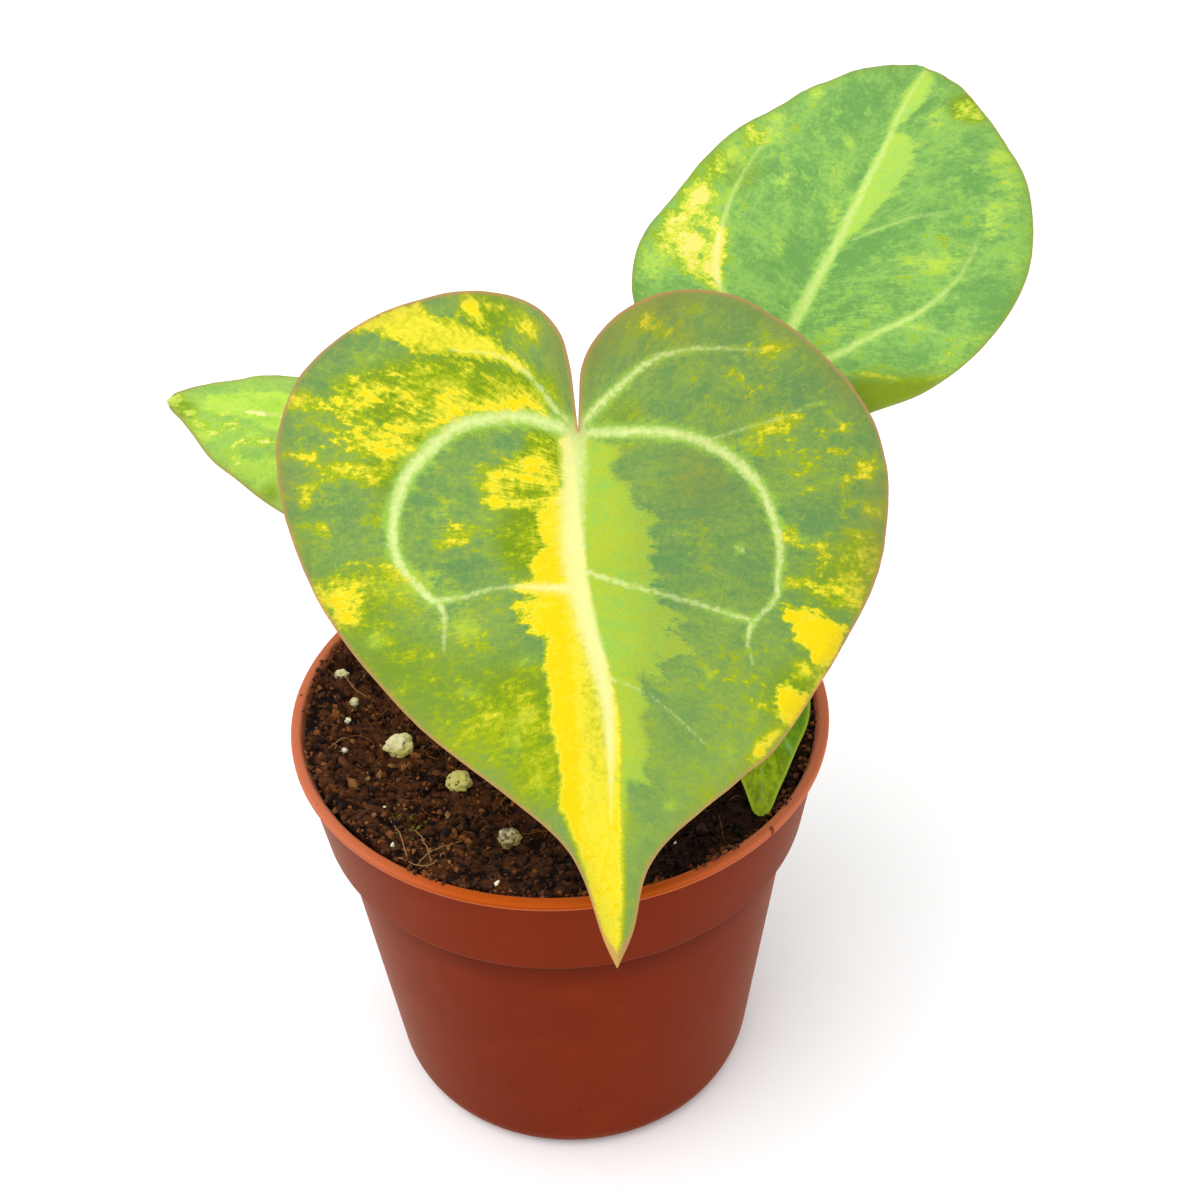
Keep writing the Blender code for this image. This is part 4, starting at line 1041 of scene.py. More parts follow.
class BladeFrame:
    """The bent surface a blade lies on, as a patch of a ring.

    The midrib is an arc that droops from the notch to the tip, and each cross section is
    an arc of radius arch that falls away from the midrib on both sides.
    """

    def __init__(self, leaf):
        notch = np.array(leaf.notch) * MM
        chord = np.array(leaf.tip) * MM - notch
        self.notch = notch
        along = unit(chord)
        across = unit(np.cross((0, 0, 1), along))
        up = np.cross(along, across)
        roll = math.radians(leaf.roll)
        self.across = math.cos(roll) * across + math.sin(roll) * up
        normal = math.cos(roll) * up - math.sin(roll) * across
        half = math.radians(leaf.droop) / 2
        self.length = np.linalg.norm(chord) * half / math.sin(half)
        self.curl = 2 * half / self.length
        self.along = math.cos(half) * along + math.sin(half) * normal
        self.normal = math.cos(half) * normal - math.sin(half) * along
        self.arch = leaf.arch * MM

    def place(self, u, v):
        """Points and upward normals for (across, along) distances on the blade."""
        turn = self.curl * v
        run = np.sin(turn) / self.curl
        sag = (1 - np.cos(turn)) / self.curl
        rib = self.notch + np.outer(run, self.along) - np.outer(sag, self.normal)
        rib_up = np.outer(np.cos(turn), self.normal) + np.outer(np.sin(turn), self.along)
        lean = (u / self.arch)[:, None]
        points = rib + self.arch * (np.sin(lean) * self.across - (1 - np.cos(lean)) * rib_up)
        normals = np.cos(lean) * rib_up + np.sin(lean) * self.across
        return points, normals


def gap_to_line(places, line):
    """Distance from each place to a line of points, and how far along the line that is."""
    nearest = np.full(len(places), np.inf)
    share = np.zeros(len(places))
    for index, (first, second) in enumerate(zip(line, line[1:])):
        way = second - first
        part = np.clip((places - first) @ way / (way @ way), 0, 1)
        gap = np.linalg.norm(places - first - part[:, None] * way, axis=1)
        closer = gap < nearest
        nearest = np.where(closer, gap, nearest)
        share = np.where(closer, (index + part) / (len(line) - 1), share)
    return nearest, share


def reach_in_area(places, corners):
    """Distance to an area's border, above 0 inside and below 0 outside."""
    line = np.array([*corners, corners[0]], float)
    gap, _ = gap_to_line(places, line)
    inside = np.zeros(len(places), bool)
    for (x0, y0), (x1, y1) in zip(line, line[1:]):
        if y0 == y1:
            continue
        crosses = (y0 > places[:, 1]) != (y1 > places[:, 1])
        at = x0 + (places[:, 1] - y0) / (y1 - y0) * (x1 - x0)
        inside ^= crosses & (places[:, 0] < at)
    return np.where(inside, gap, -gap)


def colour_reach(places, areas):
    """How far each place lies inside the nearest of the areas."""
    reach = np.full(len(places), -20.0)
    for corners in areas:
        reach = np.maximum(reach, reach_in_area(places, corners))
    return reach


def dapple(places, patches):
    """The sum of soft oval patches that fade from the middle."""
    total = np.zeros(len(places))
    for across, along, half_length, half_width, turn, strength in patches:
        turn = math.radians(turn)
        x, y = (places - (across, along)).T
        far = (x * math.cos(turn) + y * math.sin(turn)) / half_length
        wide = (y * math.cos(turn) - x * math.sin(turn)) / half_width
        total += strength * np.exp(-0.75 * (far**2 + wide**2))
    return np.minimum(total, 1.6)


def spread(places, zones):
    """The sum of round zones (across, along, radius, strength) that fade from the middle."""
    total = np.zeros(len(places))
    for across, along, radius, strength in zones:
        gap = np.hypot(places[:, 0] - across, places[:, 1] - along)
        total += strength * np.exp(-((gap / radius) ** 2))
    return total


def vein_marks(places, veins):
    """The gap to the nearest vein's side, and how strongly a vein swells at each place."""
    gap = np.full(len(places), 20.0)
    swell = np.zeros(len(places))
    for widths, points in veins:
        away, share = gap_to_line(places, smooth_curve(points, 6 * len(points)))
        half_width = np.interp(share, (0, 0.5, 1), widths)
        gap = np.minimum(gap, away - half_width)
        shoulder = np.exp(-((away / (half_width + VEIN_SHOULDER)) ** 2))
        swell = np.maximum(swell, half_width * shoulder)
    return gap, swell


def blade_marks(leaf, places, outline):
    """Every mark that the leaf's finish reads, at places on the flat blade."""
    gap, swell = vein_marks(places, leaf.veins)
    edge, _ = gap_to_line(places, outline)
    return {
        "vein_gap": gap,
        "swell": swell,
        "edge_gap": edge,
        "yellow_reach": colour_reach(places, leaf.yellow_areas),
        "yellow_dapple": dapple(places, leaf.yellow_patches),
        "lime_reach": colour_reach(places, leaf.lime_areas),
        "lime_dapple": dapple(places, leaf.lime_patches),
        "olive_tone": spread(places, leaf.olive_tones),
        "fleck_share": spread(places, leaf.fleck_zones),
        "tan_tone": spread(places, leaf.tan_zones),
    }


def blade_numbers(columns, rows, start):
    """A point number for each side, column and row, where the two halves share the midrib.

    All rows of the first column are the notch, and all rows of the last are the tip.
    """
    spare = np.arange((columns - 2) * (rows - 1)).reshape(columns - 2, rows - 1)
    sides = []
    for side in range(2):
        number = np.repeat(np.arange(columns)[:, None], rows, axis=1)
        number[1:-1, 1:] = columns + side * spare.size + spare
        sides.append(number + start)
    return sides


def half_triangles(number, flipped):
    """The triangles of half a blade, less those without area at the notch and the tip."""
    a, b, c, d = number[:-1, :-1], number[1:, :-1], number[1:, 1:], number[:-1, 1:]
    halves = np.concatenate([np.stack([a, b, c], axis=2), np.stack([a, c, d], axis=2)])
    halves = halves.reshape(-1, 3)
    real = (halves != np.roll(halves, 1, axis=1)).all(axis=1)
    return halves[real][:, ::-1] if flipped else halves[real]


def blade_sheet(leaf, blade, settings, rows, under, start):
    """One face of the blade: points, triangles, marks and the numbers along its edges.

    Column t runs from a foot on the midrib to the outline's point at t, so the columns
    fan out round the notch as the veins do. Row r is the share of the way. The top sinks
    along the veins and swells between them, and the underside has the veins as ribs.
    """
    columns = leaf.columns
    t = np.linspace(0, 1, columns)
    foot = blade.length * (FAN_START * t + (1 - FAN_START) * t**FAN_POWER)
    share = np.linspace(0, 1, rows)[None, :]
    numbers = blade_numbers(columns, rows, start)
    count = columns + 2 * (columns - 2) * (rows - 1)
    points = np.zeros((count, 3))
    marks = {}
    triangles = []
    for side, half in enumerate((leaf.right, leaf.left)):
        edge = smooth_curve(half, columns) * MM
        edge[-1] = (0, blade.length)
        u = (share * edge[:, :1]).ravel()
        v = (foot[:, None] + share * (edge[:, 1:] - foot[:, None])).ravel()
        places = np.stack([u, v], axis=1) / MM
        sheet = blade_marks(leaf, places, edge[::4] / MM)
        reach = np.hypot(edge[:, 0], edge[:, 1] - foot)
        way = np.repeat(t * reach.max() * RUN_SPREAD, rows) / MM
        far = (share * reach[:, None]).ravel() / MM
        sheet["blade_place"] = raised(places, float(under))
        sheet["blade_run"] = np.stack([way, far, np.full(len(u), float(side))], axis=1)

        wave = share**3 * np.sin(t * MARGIN_WAVE + leaf.arch)[:, None]
        wave = leaf.wave * MM * (wave * np.sin(t * math.pi)[:, None]).ravel()
        ripple = layered_noise(raised(places * RIPPLE_SCALE, leaf.arch), RIPPLE_NOISE)
        pillow = 1 - np.exp(-((sheet["vein_gap"] / PILLOW_REACH) ** 2))
        lift = wave + RIPPLE * ripple + settings.quilting * (pillow - 0.5)
        lift -= settings.vein_depth * sheet["swell"]
        if under:
            full = smooth_step(sheet["edge_gap"], 0, EDGE_REACH)
            lift -= settings.thickness * (EDGE_SHARE + (1 - EDGE_SHARE) * full)
            lift -= settings.rib_height * sheet["swell"]
        surface, normals = blade.place(u, v)
        own = numbers[side].ravel() - start
        points[own] = surface + normals * lift[:, None]
        for mark, values in sheet.items():
            whole = marks.setdefault(mark, np.zeros((count, *values.shape[1:])))
            whole[own] = values
        triangles.append(half_triangles(numbers[side], side != under))
    edges = [number[:, -1] for number in numbers]
    return points, np.vstack(triangles), marks, edges


def make_blade(leaf, variegation, settings):
    """A thin closed blade: a fine top, a coarser underside, and a strip round the edge."""
    blade = BladeFrame(leaf)
    low_rows = max(UNDER_ROWS, leaf.rows // UNDER_COARSER)
    top, above, top_marks, top_edges = blade_sheet(leaf, blade, settings, leaf.rows, False, 0)
    low, below, low_marks, low_edges = blade_sheet(
        leaf, blade, settings, low_rows, True, len(top)
    )
    faces = above.tolist() + below.tolist()
    for side, (upper, lower) in enumerate(zip(top_edges, low_edges)):
        strip = np.stack([upper[:-1], upper[1:], lower[1:], lower[:-1]], axis=1)
        faces += (strip[:, ::-1] if side == 1 else strip).tolist()
    marks = {mark: np.concatenate([top_marks[mark], low_marks[mark]]) for mark in top_marks}
    points = np.vstack([top, low])
    skin = leaf_finish(leaf, variegation, settings)
    name = f"{leaf.name}_leaf"
    node = f"leaf_{leaf.name}"
    add_piece(name, points, faces, skin, [node], sharp=60, marks=marks)


# Leaf stalks


def make_stalk(leaf, settings):
    """A leaf stalk: a tube along a cubic Bezier curve from the stem to the notch.

    It is stout at the stem, slim above, and swells to a short knee under the blade.
    """
    blade = BladeFrame(leaf)
    scale = leaf.stalk_scale
    foot = raised(polar(STALK_RING, math.radians(leaf.foot_angle)), STEM_TOP - SEAT)
    end = blade.notch + blade.along * 0.9 * MM - blade.normal * 0.75 * MM
    reach = np.linalg.norm(end - foot)
    first = foot + np.array([0, 0, 0.4 * reach])
    second = end - unit(leaf.stalk_end) * 0.35 * reach
    share = np.linspace(0, 1, STALK_STEPS)
    t = share[:, None]
    path = (1 - t) ** 3 * foot + 3 * (1 - t) ** 2 * t * first
    path = path + 3 * (1 - t) * t**2 * second + t**3 * end
    foot_swell = (STALK_FOOT_RADIUS - STALK_RADIUS * scale) * np.exp(-share * 9)
    knee_swell = (STALK_KNEE_RADIUS - STALK_RADIUS) * scale
    knee_swell = knee_swell * np.exp(-(((1 - share) / KNEE_SHARE) ** 2))
    domed = np.sqrt(1 - smooth_step(share, 1 - DOME_SHARE, 1) ** 2 * 0.96)
    radii = (STALK_RADIUS * scale + foot_swell + knee_swell) * domed
    aside = unit(np.cross(end - foot, (0, 0, 1)))
    points, faces = tubes(path[None], radii[None], STALK_SIDES, aside)
    marks = {"stalk_share": np.append(np.repeat(share, STALK_SIDES), (0, 1))}
    name = f"{leaf.name}_leaf_stalk"
    node = f"stalk_{leaf.name}"
    skin = stalk_finish(leaf, settings)
    add_piece(name, points, faces, skin, [node], sharp=60, marks=marks)


def stalk_finish(leaf, settings):
    """Green stalk skin with fine pale lines along it and a reddish knee and foot."""
    nodes = Finish(f"Stalk {leaf.name}", 0.42)
    share = nodes.mark("stalk_share")
    place = nodes.object_place()
    lines = nodes.noise(nodes.stretch(place, (1 / MM, 1 / MM, 0.08 / MM)), 2.2, 3)
    blotch = nodes.noise(place, 260, 3) * 0.2
    colour = nodes.layers(lines, settings.stalk_green, (0.4, 0.65, settings.stalk_pale))
    knee = nodes.step(share + blotch, 0.95, 1.08) * 0.7
    foot = nodes.step(blotch - share, 0, 0.1) * 0.6
    for part in (knee, foot):
        colour = nodes.mix(part, colour, settings.blush)
    nodes.bump(lines, 0.06 * MM)
    return nodes.coloured(colour)


# Stem, roots and sheaths


def root_paths():
    """Centre lines of the roots: out from the stem, then down with a slow wander.

    The reach and the drop of a root vary by a cosine and a sine of its number.
    """
    index = np.arange(ROOTS)[:, None]
    t = np.linspace(0, 1, ROOT_STEPS)[None, :]
    turn = index * math.tau / ROOTS + ROOT_TURN
    reach = ROOT_REACH * (0.75 + 0.25 * np.cos(2.4 * index))
    out = ROOT_START + reach * np.sin(t * 1.5)
    side = ROOT_WANDER * np.sin(t * 5 + index) * t
    drop = (ROOT_DROP + 3 * MM * np.sin(1.7 * index)) * t**1.6
    height = STEM_FOOT + (1.8 + 0.8 * (index % 3)) * MM - drop
    return raised(polar(out, turn) + polar(side, turn + math.pi / 2), height)


def make_stem(settings):
    """The short stem with leaf scars round it, and its roots, as one piece.

    The stem's radius follows a line of scars, each a ridge with a shallow groove below,
    and is roughened by noise stretched along the stem.
    """
    level = np.linspace(0, 1, STEM_RINGS)
    height = STEM_FOOT + (STEM_TOP - STEM_FOOT) * level
    body = STEM_RADIUS * np.interp(level, (0, 0.1, 0.35, 1), (0.55, 0.9, 1, 1))
    scar = 0.25 * MM
    scars = scar * np.maximum(0, np.sin(level * math.tau * 4.5)) ** 4
    domed = np.sqrt(1 - smooth_step(level, 0.94, 1) ** 2 * 0.98)
    radius = (body - scar + scars) * domed
    shape = turned(np.stack([radius, height], axis=1), STEM_SIDES)
    rough = layered_noise(shape / MM * (0.9, 0.9, 0.3), BARK_NOISE)
    shape[..., :2] *= 1 + 0.035 * rough[..., None]
    points, faces = closed_rings(shape[None])
    radii = np.tile(np.linspace(ROOT_RADIUS, ROOT_TIP_RADIUS, ROOT_STEPS), (ROOTS, 1))
    root_points, root_faces = tubes(root_paths(), radii, ROOT_SIDES, (0.31, 0.22, 0.93))
    faces += [[corner + len(points) for corner in face] for face in root_faces]
    points = np.vstack([points, root_points])
    bark = bark_finish(settings)
    add_piece("crown_and_roots", points, faces, bark, ["stem_and_roots"])


def bark_finish(settings):
    """Dry bark: fibres along the stem, with green showing through in patches."""
    nodes = Finish("Stem bark", 0.75)
    place = nodes.object_place()
    fibres = nodes.noise(nodes.stretch(place, (1 / MM, 1 / MM, 0.25 / MM)), 1.6, 4)
    colour = nodes.layers(fibres, settings.bark_dark, (0.35, 0.65, settings.bark))
    patches = nodes.step(nodes.noise(place, 420, 3), 0.55, 0.7) * 0.6
    nodes.bump(fibres, 0.2 * MM)
    return nodes.coloured(nodes.mix(patches, colour, settings.stalk_green))


def make_sheath(name, facing, half_angle, height, seed, skin):
    """A dry papery sheath round the stem's side, split and frayed at its tip.

    Its half angle narrows with height, its radius leans away with the square of height,
    and it is fluted by a cosine across. Noise across shortens the top unevenly.
    """
    t = np.linspace(0, 1, SHEATH_ROWS)[:, None]
    s = np.linspace(-1, 1, SHEATH_COLUMNS)
    frays = layered_noise(np.outer(s, (6, 0, 0)), seed, 4)
    half = math.radians(half_angle) * np.sqrt(1 - 0.93 * t**1.6)
    level = SHEATH_FOOT + height * t * (1 - FRAY_SHARE * np.abs(frays))
    flute = FLUTE_DEPTH * np.cos(s * FLUTE_TURN) * t
    radius = STEM_RADIUS + SEAT + SHEATH_LEAN * t**2 + flute + SHEATH_GAP
    angle = math.radians(facing) + half * s
    outer = raised(polar(radius + SHEATH_THICKNESS, angle), level)
    inner = raised(polar(radius, angle), level)
    points, faces = slab(outer, inner)
    place = raised(np.stack(np.broadcast_arrays(s, t), axis=2), 0).reshape(-1, 3)
    marks = {"sheath_place": np.tile(place, (2, 1))}
    piece = f"{name}_papery_sheath"
    node = f"sheath_{name}"
    add_piece(piece, points, faces, skin, [node], sharp=60, marks=marks)


def sheath_finish(settings):
    """Dry brown paper with fibres that run up it, darker at the frayed tip."""
    nodes = Finish("Papery sheath", 0.8)
    place = nodes.mark("sheath_place", "Vector")
    _, height, _ = nodes.split(place)
    fibres = nodes.noise(nodes.stretch(place, (22, 1.6, 1)), 1, 4)
    blotch = nodes.noise(nodes.stretch(place, (3, 3, 1)), 1, 3)
    colour = nodes.layers(fibres, settings.sheath_dark, (0.3, 0.7, settings.sheath_pale))
    tip = nodes.step(height + blotch * 0.5, 0.8, 1.3) * 0.7
    nodes.bump(fibres, 0.08 * MM)
    return nodes.coloured(nodes.mix(tip, colour, settings.sheath_dark))


# Pot


def pot_corners(seat=0.0):
    """Corners (radius, height, rounding) of the pot's outside, and of its inside less a seat."""
    collar_top = LIP_RADIUS - LIP_OVERHANG
    collar_foot = collar_top - COLLAR_TAPER
    step = POT_HEIGHT - COLLAR_HEIGHT
    body_top = collar_foot - STEP_WIDTH
    outside = [
        (0.3 * MM, 0, 0),
        (BASE_RADIUS - 1.0 * MM, 0, 1.8 * MM),
        (BASE_RADIUS + 0.1 * MM, 2.4 * MM, 1.0 * MM),
        (body_top, step - 0.7 * MM, 0.5 * MM),
        (collar_foot, step, 0.45 * MM),
        (collar_top, POT_HEIGHT - LIP_DEPTH - 0.1 * MM, 0.25 * MM),
        (LIP_RADIUS, POT_HEIGHT - LIP_DEPTH, 0.3 * MM),
        (LIP_RADIUS, POT_HEIGHT, 0.38 * MM),
    ]
    inside = [
        (LIP_RADIUS - 1.05 * MM - seat, POT_HEIGHT, 0.3 * MM),
        (collar_top - WALL - seat, POT_HEIGHT - 0.9 * MM, 0.3 * MM),
        (collar_foot - WALL - seat, step + 0.35 * MM, 0.4 * MM),
        (body_top - WALL - seat, step - WALL, 0.4 * MM),
        (BASE_RADIUS - WALL - seat, FLOOR + seat, 1.0 * MM),
        (0.3 * MM, FLOOR + seat, 0),
    ]
    return outside, inside


def make_pot(settings):
    """The moulded pot: its rounded profile carried round the axis, with drains cut through."""
    outside, inside = pot_corners()
    profile = rounded(outside + inside)
    points, faces = closed_rings(turned(profile, settings.round_steps)[None])
    sharp = 40
    skin = pot_finish(settings)
    pot = add_piece("nursery_pot", points, faces, skin, ["pot"], sharp=sharp)
    cutters = []
    for index in range(CHANNELS):
        cutters += drain_cutters(index, -math.pi / 2 + index * math.tau / CHANNELS)
    group = bpy.data.collections.new("drain cutters")
    bpy.context.scene.collection.children.link(group)
    for cutter in cutters:
        group.objects.link(cutter)
    cut = pot.modifiers.new("drains", "BOOLEAN")
    cut.operation = "DIFFERENCE"
    cut.operand_type = "COLLECTION"
    cut.collection = group
    cut.solver = "EXACT"
    graph = bpy.context.evaluated_depsgraph_get()
    shape = bpy.data.meshes.new_from_object(pot.evaluated_get(graph))
    pot.modifiers.clear()
    pot.data = shape
    shade(shape, sharp)
    for cutter in cutters:
        bpy.data.objects.remove(cutter, do_unlink=True)
    bpy.data.collections.remove(group)


def drain_cutters(index, angle):
    """A shallow channel under the floor and the drain hole in it, as shapes to cut away.

    The channel is a rounded strip from its start to beyond the pot's side, and the hole
    is a round column through the floor.
    """
    length = LIP_RADIUS - CHANNEL_START
    circle = polar(1, full_turn(CUTTER_SIDES))
    square = np.abs(circle) ** 0.25 * np.sign(circle)
    strip = square * (length / 2, CHANNEL_WIDTH / 2) + (CHANNEL_START + length / 2, 0)
    hole = circle * DRAIN_RADIUS + (DRAIN_CIRCLE, 0)
    cutters = []
    for name, outline, low, high in (
        ("channel", strip, -CHANNEL_DEPTH, CHANNEL_DEPTH),
        ("drain", hole, -FLOOR, 2 * FLOOR),
    ):
        rings = np.stack([raised(outline, low), raised(outline, high)])
        mesh = new_mesh(f"cutter_{name}_{index}", *closed_rings(rings[None]))
        mesh.transform(Matrix.Rotation(angle, 4, "Z"))
        cutters.append(bpy.data.objects.new(mesh.name, mesh))
    return cutters


def pot_finish(settings):
    """Satin terracotta plastic with fine moulding grain, soil specks and light dust clouds; the
    lip, its sides, the lines round its foot and the band under the collar's step carry painted
    light and painted shade.
    """
    nodes = Finish("Terracotta plastic", settings.roughness, {
        "Specular IOR Level": 0.02, "Sheen Weight": 0.15, "Sheen Roughness": 0.3,
        "Sheen Tint": (1, 0.72, 0.5),
    })
    place = nodes.object_place()
    across, _, height = nodes.split(place)
    cloud = nodes.noise(place, 45, 3)
    colour = nodes.layers(cloud, settings.plastic, (0.3, 0.7, settings.plastic_warm))
    # Painted sheen: the lip is painted paler and pinker toward its left and right sides, where
    # grazing light gives its rounding a sheen.
    side_sheen = nodes.step(nodes.math("ABSOLUTE", across), 8 * MM, 27 * MM)
    lip = nodes.mix(side_sheen, settings.lip, settings.lip_sheen)
    # Painted light: the lip is the same plastic as the body, painted brighter orange where light
    # falls on its top and shines through its thin rim.
    colour = nodes.layers(height, colour, (POT_HEIGHT - 1.2 * MM, POT_HEIGHT - 1.0 * MM, lip))
    lip_foot = POT_HEIGHT - LIP_DEPTH
    soft = 0.2 * MM
    # Painted shade and highlight round the lip's foot: a painted shade line below it, a painted
    # highlight line on it and a fainter painted shade line above it, for light on the lip's
    # rounding.
    for low, high, strength, tint in (
        (lip_foot - 0.75 * MM, lip_foot - 0.15 * MM, 0.5, settings.plastic_dark),
        (lip_foot - 0.15 * MM, lip_foot + 0.3 * MM, 0.6, settings.lip_sheen),
        (lip_foot + 0.35 * MM, lip_foot + 0.7 * MM, 0.35, settings.plastic_dark),
    ):
        line = nodes.step(height, low, low + soft) - nodes.step(height, high - soft, high)
        colour = nodes.mix(line * strength, colour, tint)
    # Painted shade: the body just under the collar's step is painted darker, fading over 6.6 mm
    # downward, with a darker line at the step's edge, in place of the shade under the ledge.
    step = POT_HEIGHT - COLLAR_HEIGHT
    under_step = 1 - nodes.step(height, step - 0.1 * MM, step + 0.5 * MM)
    painted_shade_under_step = nodes.step(height, step - 6.6 * MM, step - 0.4 * MM) * under_step * 0.55
    near_rim = nodes.step(height, 20 * MM, POT_HEIGHT) * 0.05
    specks = nodes.step(nodes.noise(place, 520, 1) + near_rim, 0.79, 0.82) * 0.7
    dust = nodes.step(nodes.noise(place, 160, 5), 0.5, 0.8) * 0.1
    for share, tint in (
        (painted_shade_under_step, settings.plastic_dark), (specks, settings.plastic_dark), (dust, settings.lip),
    ):
        colour = nodes.mix(share, colour, tint)
    nodes.feed(nodes.shader, {"Roughness": cloud * 0.12 + (settings.roughness - 0.06)})
    nodes.bump(nodes.noise(place, 1400, 2), 0.02 * MM)
    return nodes.coloured(colour)


# Substrate


def soil_lumps(flat):
    """How far each place lies up a lump: noise folded at 0, which leaves creases between."""
    places = raised(flat, 0) / MM
    coarse = np.abs(lattice_noise(places / 1.3 + 5.1, LUMP_NOISE))
    fine = np.abs(lattice_noise(places / 0.6 + 9.7, LUMP_NOISE + 1))
    return 0.6 * coarse + 0.4 * fine


def soil_lift(flat):
    """Height of the substrate over its level: mounds and lumps, banked up at the wall.

    It is level with the lower part of each perlite grain, so that no grain is buried.
    """
    places = raised(flat, 0) / MM
    x, y = np.moveaxis(flat, -1, 0)
    mounds = lattice_noise(places / 9 + 3.3, MOUND_NOISE)
    clods = layered_noise(places / 2.3 + 11.7, CLOD_NOISE)
    banked = smooth_step(np.hypot(x, y), *BANK)
    banked *= 0.8 + 0.9 * smooth_step(-x, *LEFT_BANK)
    lift = (0.3 * mounds + 0.35 * clods + 0.9 * soil_lumps(flat) + banked - 0.35) * MM
    for middle, half in zip(*grain_places()):
        gap = np.hypot(x - middle[0], y - middle[1]) / half[0]
        seat = middle[2] - 0.25 * half[2] - SOIL_LEVEL
        near = 1 - smooth_step(gap, 0.8, 2)
        lift = np.where(lift > seat, lift + near * (seat - lift), lift)
    return lift


def make_soil(settings):
    """The substrate: the pot's inside less a seat, closed by a crumbled top.

    Rings of points go up the wall and then inwards over the top, where each point is
    lifted by the noise of soil_lift.
    """
    _, inside = pot_corners(SEAT)
    wall = rounded(inside[::-1])
    brim = np.interp(SOIL_LEVEL, wall[:, 1], wall[:, 0])
    wall = np.vstack([wall[wall[:, 1] < SOIL_LEVEL - 2 * MM], (brim, SOIL_LEVEL)])
    reach = np.sqrt(np.linspace(1, 0.0004, SOIL_RINGS)) * (brim + 0.05 * MM)
    top = turned(np.stack([reach, np.full(SOIL_RINGS, SOIL_LEVEL)], axis=1), SOIL_SIDES)
    top[..., 2] += soil_lift(top[..., :2])
    rings = np.concatenate([turned(wall, SOIL_SIDES), top])
    points, faces = closed_rings(rings[None])
    marks = {"soil_lump": soil_lumps(points[:, :2])}
    skin = soil_finish(settings)
    name = "substrate_top"
    add_piece(name, points, faces, skin, ["soil"], sharp=80, marks=marks)


def soil_finish(settings):
    """Moist peat and coir: near-black hollows, brown clods and rust, all darker on the right,
    partly darker peat and partly painted shadow of the leaves.
    """
    nodes = Finish("Moist substrate", 0.9, {"Specular IOR Level": 0.12})
    place = nodes.object_place()
    across, _, _ = nodes.split(place)
    clod = nodes.noise(place, 650, 5)
    coir = nodes.noise(nodes.stretch(place, (1, 1.6, 1)), 900, 4)
    height = nodes.mark("soil_lump") * 0.7 + clod
    colour = nodes.layers(height, settings.dark, (0.54, 0.84, settings.brown))
    rusty = nodes.step(coir, 0.54, 0.7) * nodes.step(height, 0.55, 0.8) * 0.8
    colour = nodes.mix(rusty, colour, settings.rust)
    # Painted shadow of the leaves, partly also darker peat: the substrate is painted darker
    # toward the right.
    shadowed = nodes.step(across, -14 * MM, 12 * MM) * 0.75
    nodes.bump(clod + coir, 0.5 * MM)
    return nodes.coloured(nodes.mix(shadowed, colour, settings.dark))


def grain_places():
    """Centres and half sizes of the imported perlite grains, in metres."""
    middles = []
    halves = []
    for name in sorted(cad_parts):
        if name.startswith("perlite_"):
            low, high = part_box(name)
            middles.append((low + high) / 2)
            halves.append((high - low) / 2)
    return np.array(middles), np.array(halves)


def clear_places(draw, count, near, far):
    """Random places on the substrate, clear of the stem and of the perlite grains."""
    angle = draw.uniform(0, math.tau, count * 2)
    flat = polar(np.sqrt(draw.uniform(near**2, far**2, count * 2)), angle)
    middles, halves = grain_places()
    gap = np.linalg.norm(flat[:, None] - middles[None, :, :2], axis=2) - halves[None, :, 0]
    return flat[gap.min(axis=1) > 0.15 * MM][:count]


def crumb_shapes(draw, flat, sizes, sink):
    """Angular crumbs: three six-sided rings each, stretched, turned and dented at random."""
    count = len(flat)
    grid = (count, len(CRUMB_TILTS), CRUMB_SIDES, 1)
    shape = ball(CRUMB_TILTS, CRUMB_SIDES) * (1 + draw.uniform(-0.4, 0.4, grid))
    shape *= draw.uniform(0.4, 1.0, (count, 1, 1, 3))
    frames, _ = np.linalg.qr(draw.normal(size=(count, 3, 3)))
    frames *= np.sign(np.linalg.det(frames))[:, None, None]
    shape = np.einsum("nrsi,nij->nrsj", shape, frames) * sizes[:, None, None, None] / 2
    middle = raised(flat, SOIL_LEVEL + soil_lift(flat) + sink * sizes)
    return closed_rings(shape[:, ::-1] + middle[:, None, None])


def add_loose(name, points, faces, tints, skin, sharp):
    """A piece of many like shapes on the substrate, with a tint for each as their mark."""
    marks = {"crumb_tint": np.repeat(tints, len(points) // len(tints))}
    add_piece(name, points, faces, skin, sharp=sharp, marks=marks)


def make_crumbs(settings, skin):
    """Crumbs of peat, bark and coir dust strewn on the substrate.

    Each is a small lump of crumb_shapes. Its tint says which colour it takes: dark,
    brown, rusty, tan, the pale grey of a perlite chip, or moss.
    """
    draw = np.random.default_rng(CRUMB_DRAW)
    flat = clear_places(draw, settings.crumbs, STEM_RADIUS + 0.4 * MM, SOIL_RADIUS - 0.5 * MM)
    common, least, most = CRUMB_SIZES
    sizes = draw.lognormal(math.log(common), 0.45, len(flat)).clip(least, most) * MM
    tints = draw.beta(1.2, 1.7, len(flat)) * 0.8
    # Crumbs darker toward the right: painted shadow of the leaves, partly also darker peat.
    tints *= 1 - 0.75 * smooth_step(flat[:, 0], -14 * MM, 10 * MM)
    mossy = np.linalg.norm(flat / MM - MOSSY_SPOT, axis=1) < MOSSY_RADIUS
    tints[mossy & (draw.uniform(size=len(flat)) < MOSSY_SHARE)] = MOSS_TINT
    chips = np.linalg.norm(flat[:, None] / MM - CHIPS, axis=2).argmin(axis=0)
    tints[chips] = CHIP_TINT
    sizes[chips] = np.array(CHIP_SIZES) * MM
    points, faces = crumb_shapes(draw, flat, sizes, 0.25)
    add_loose("substrate_crumbs", points, faces, tints, skin, sharp=20)


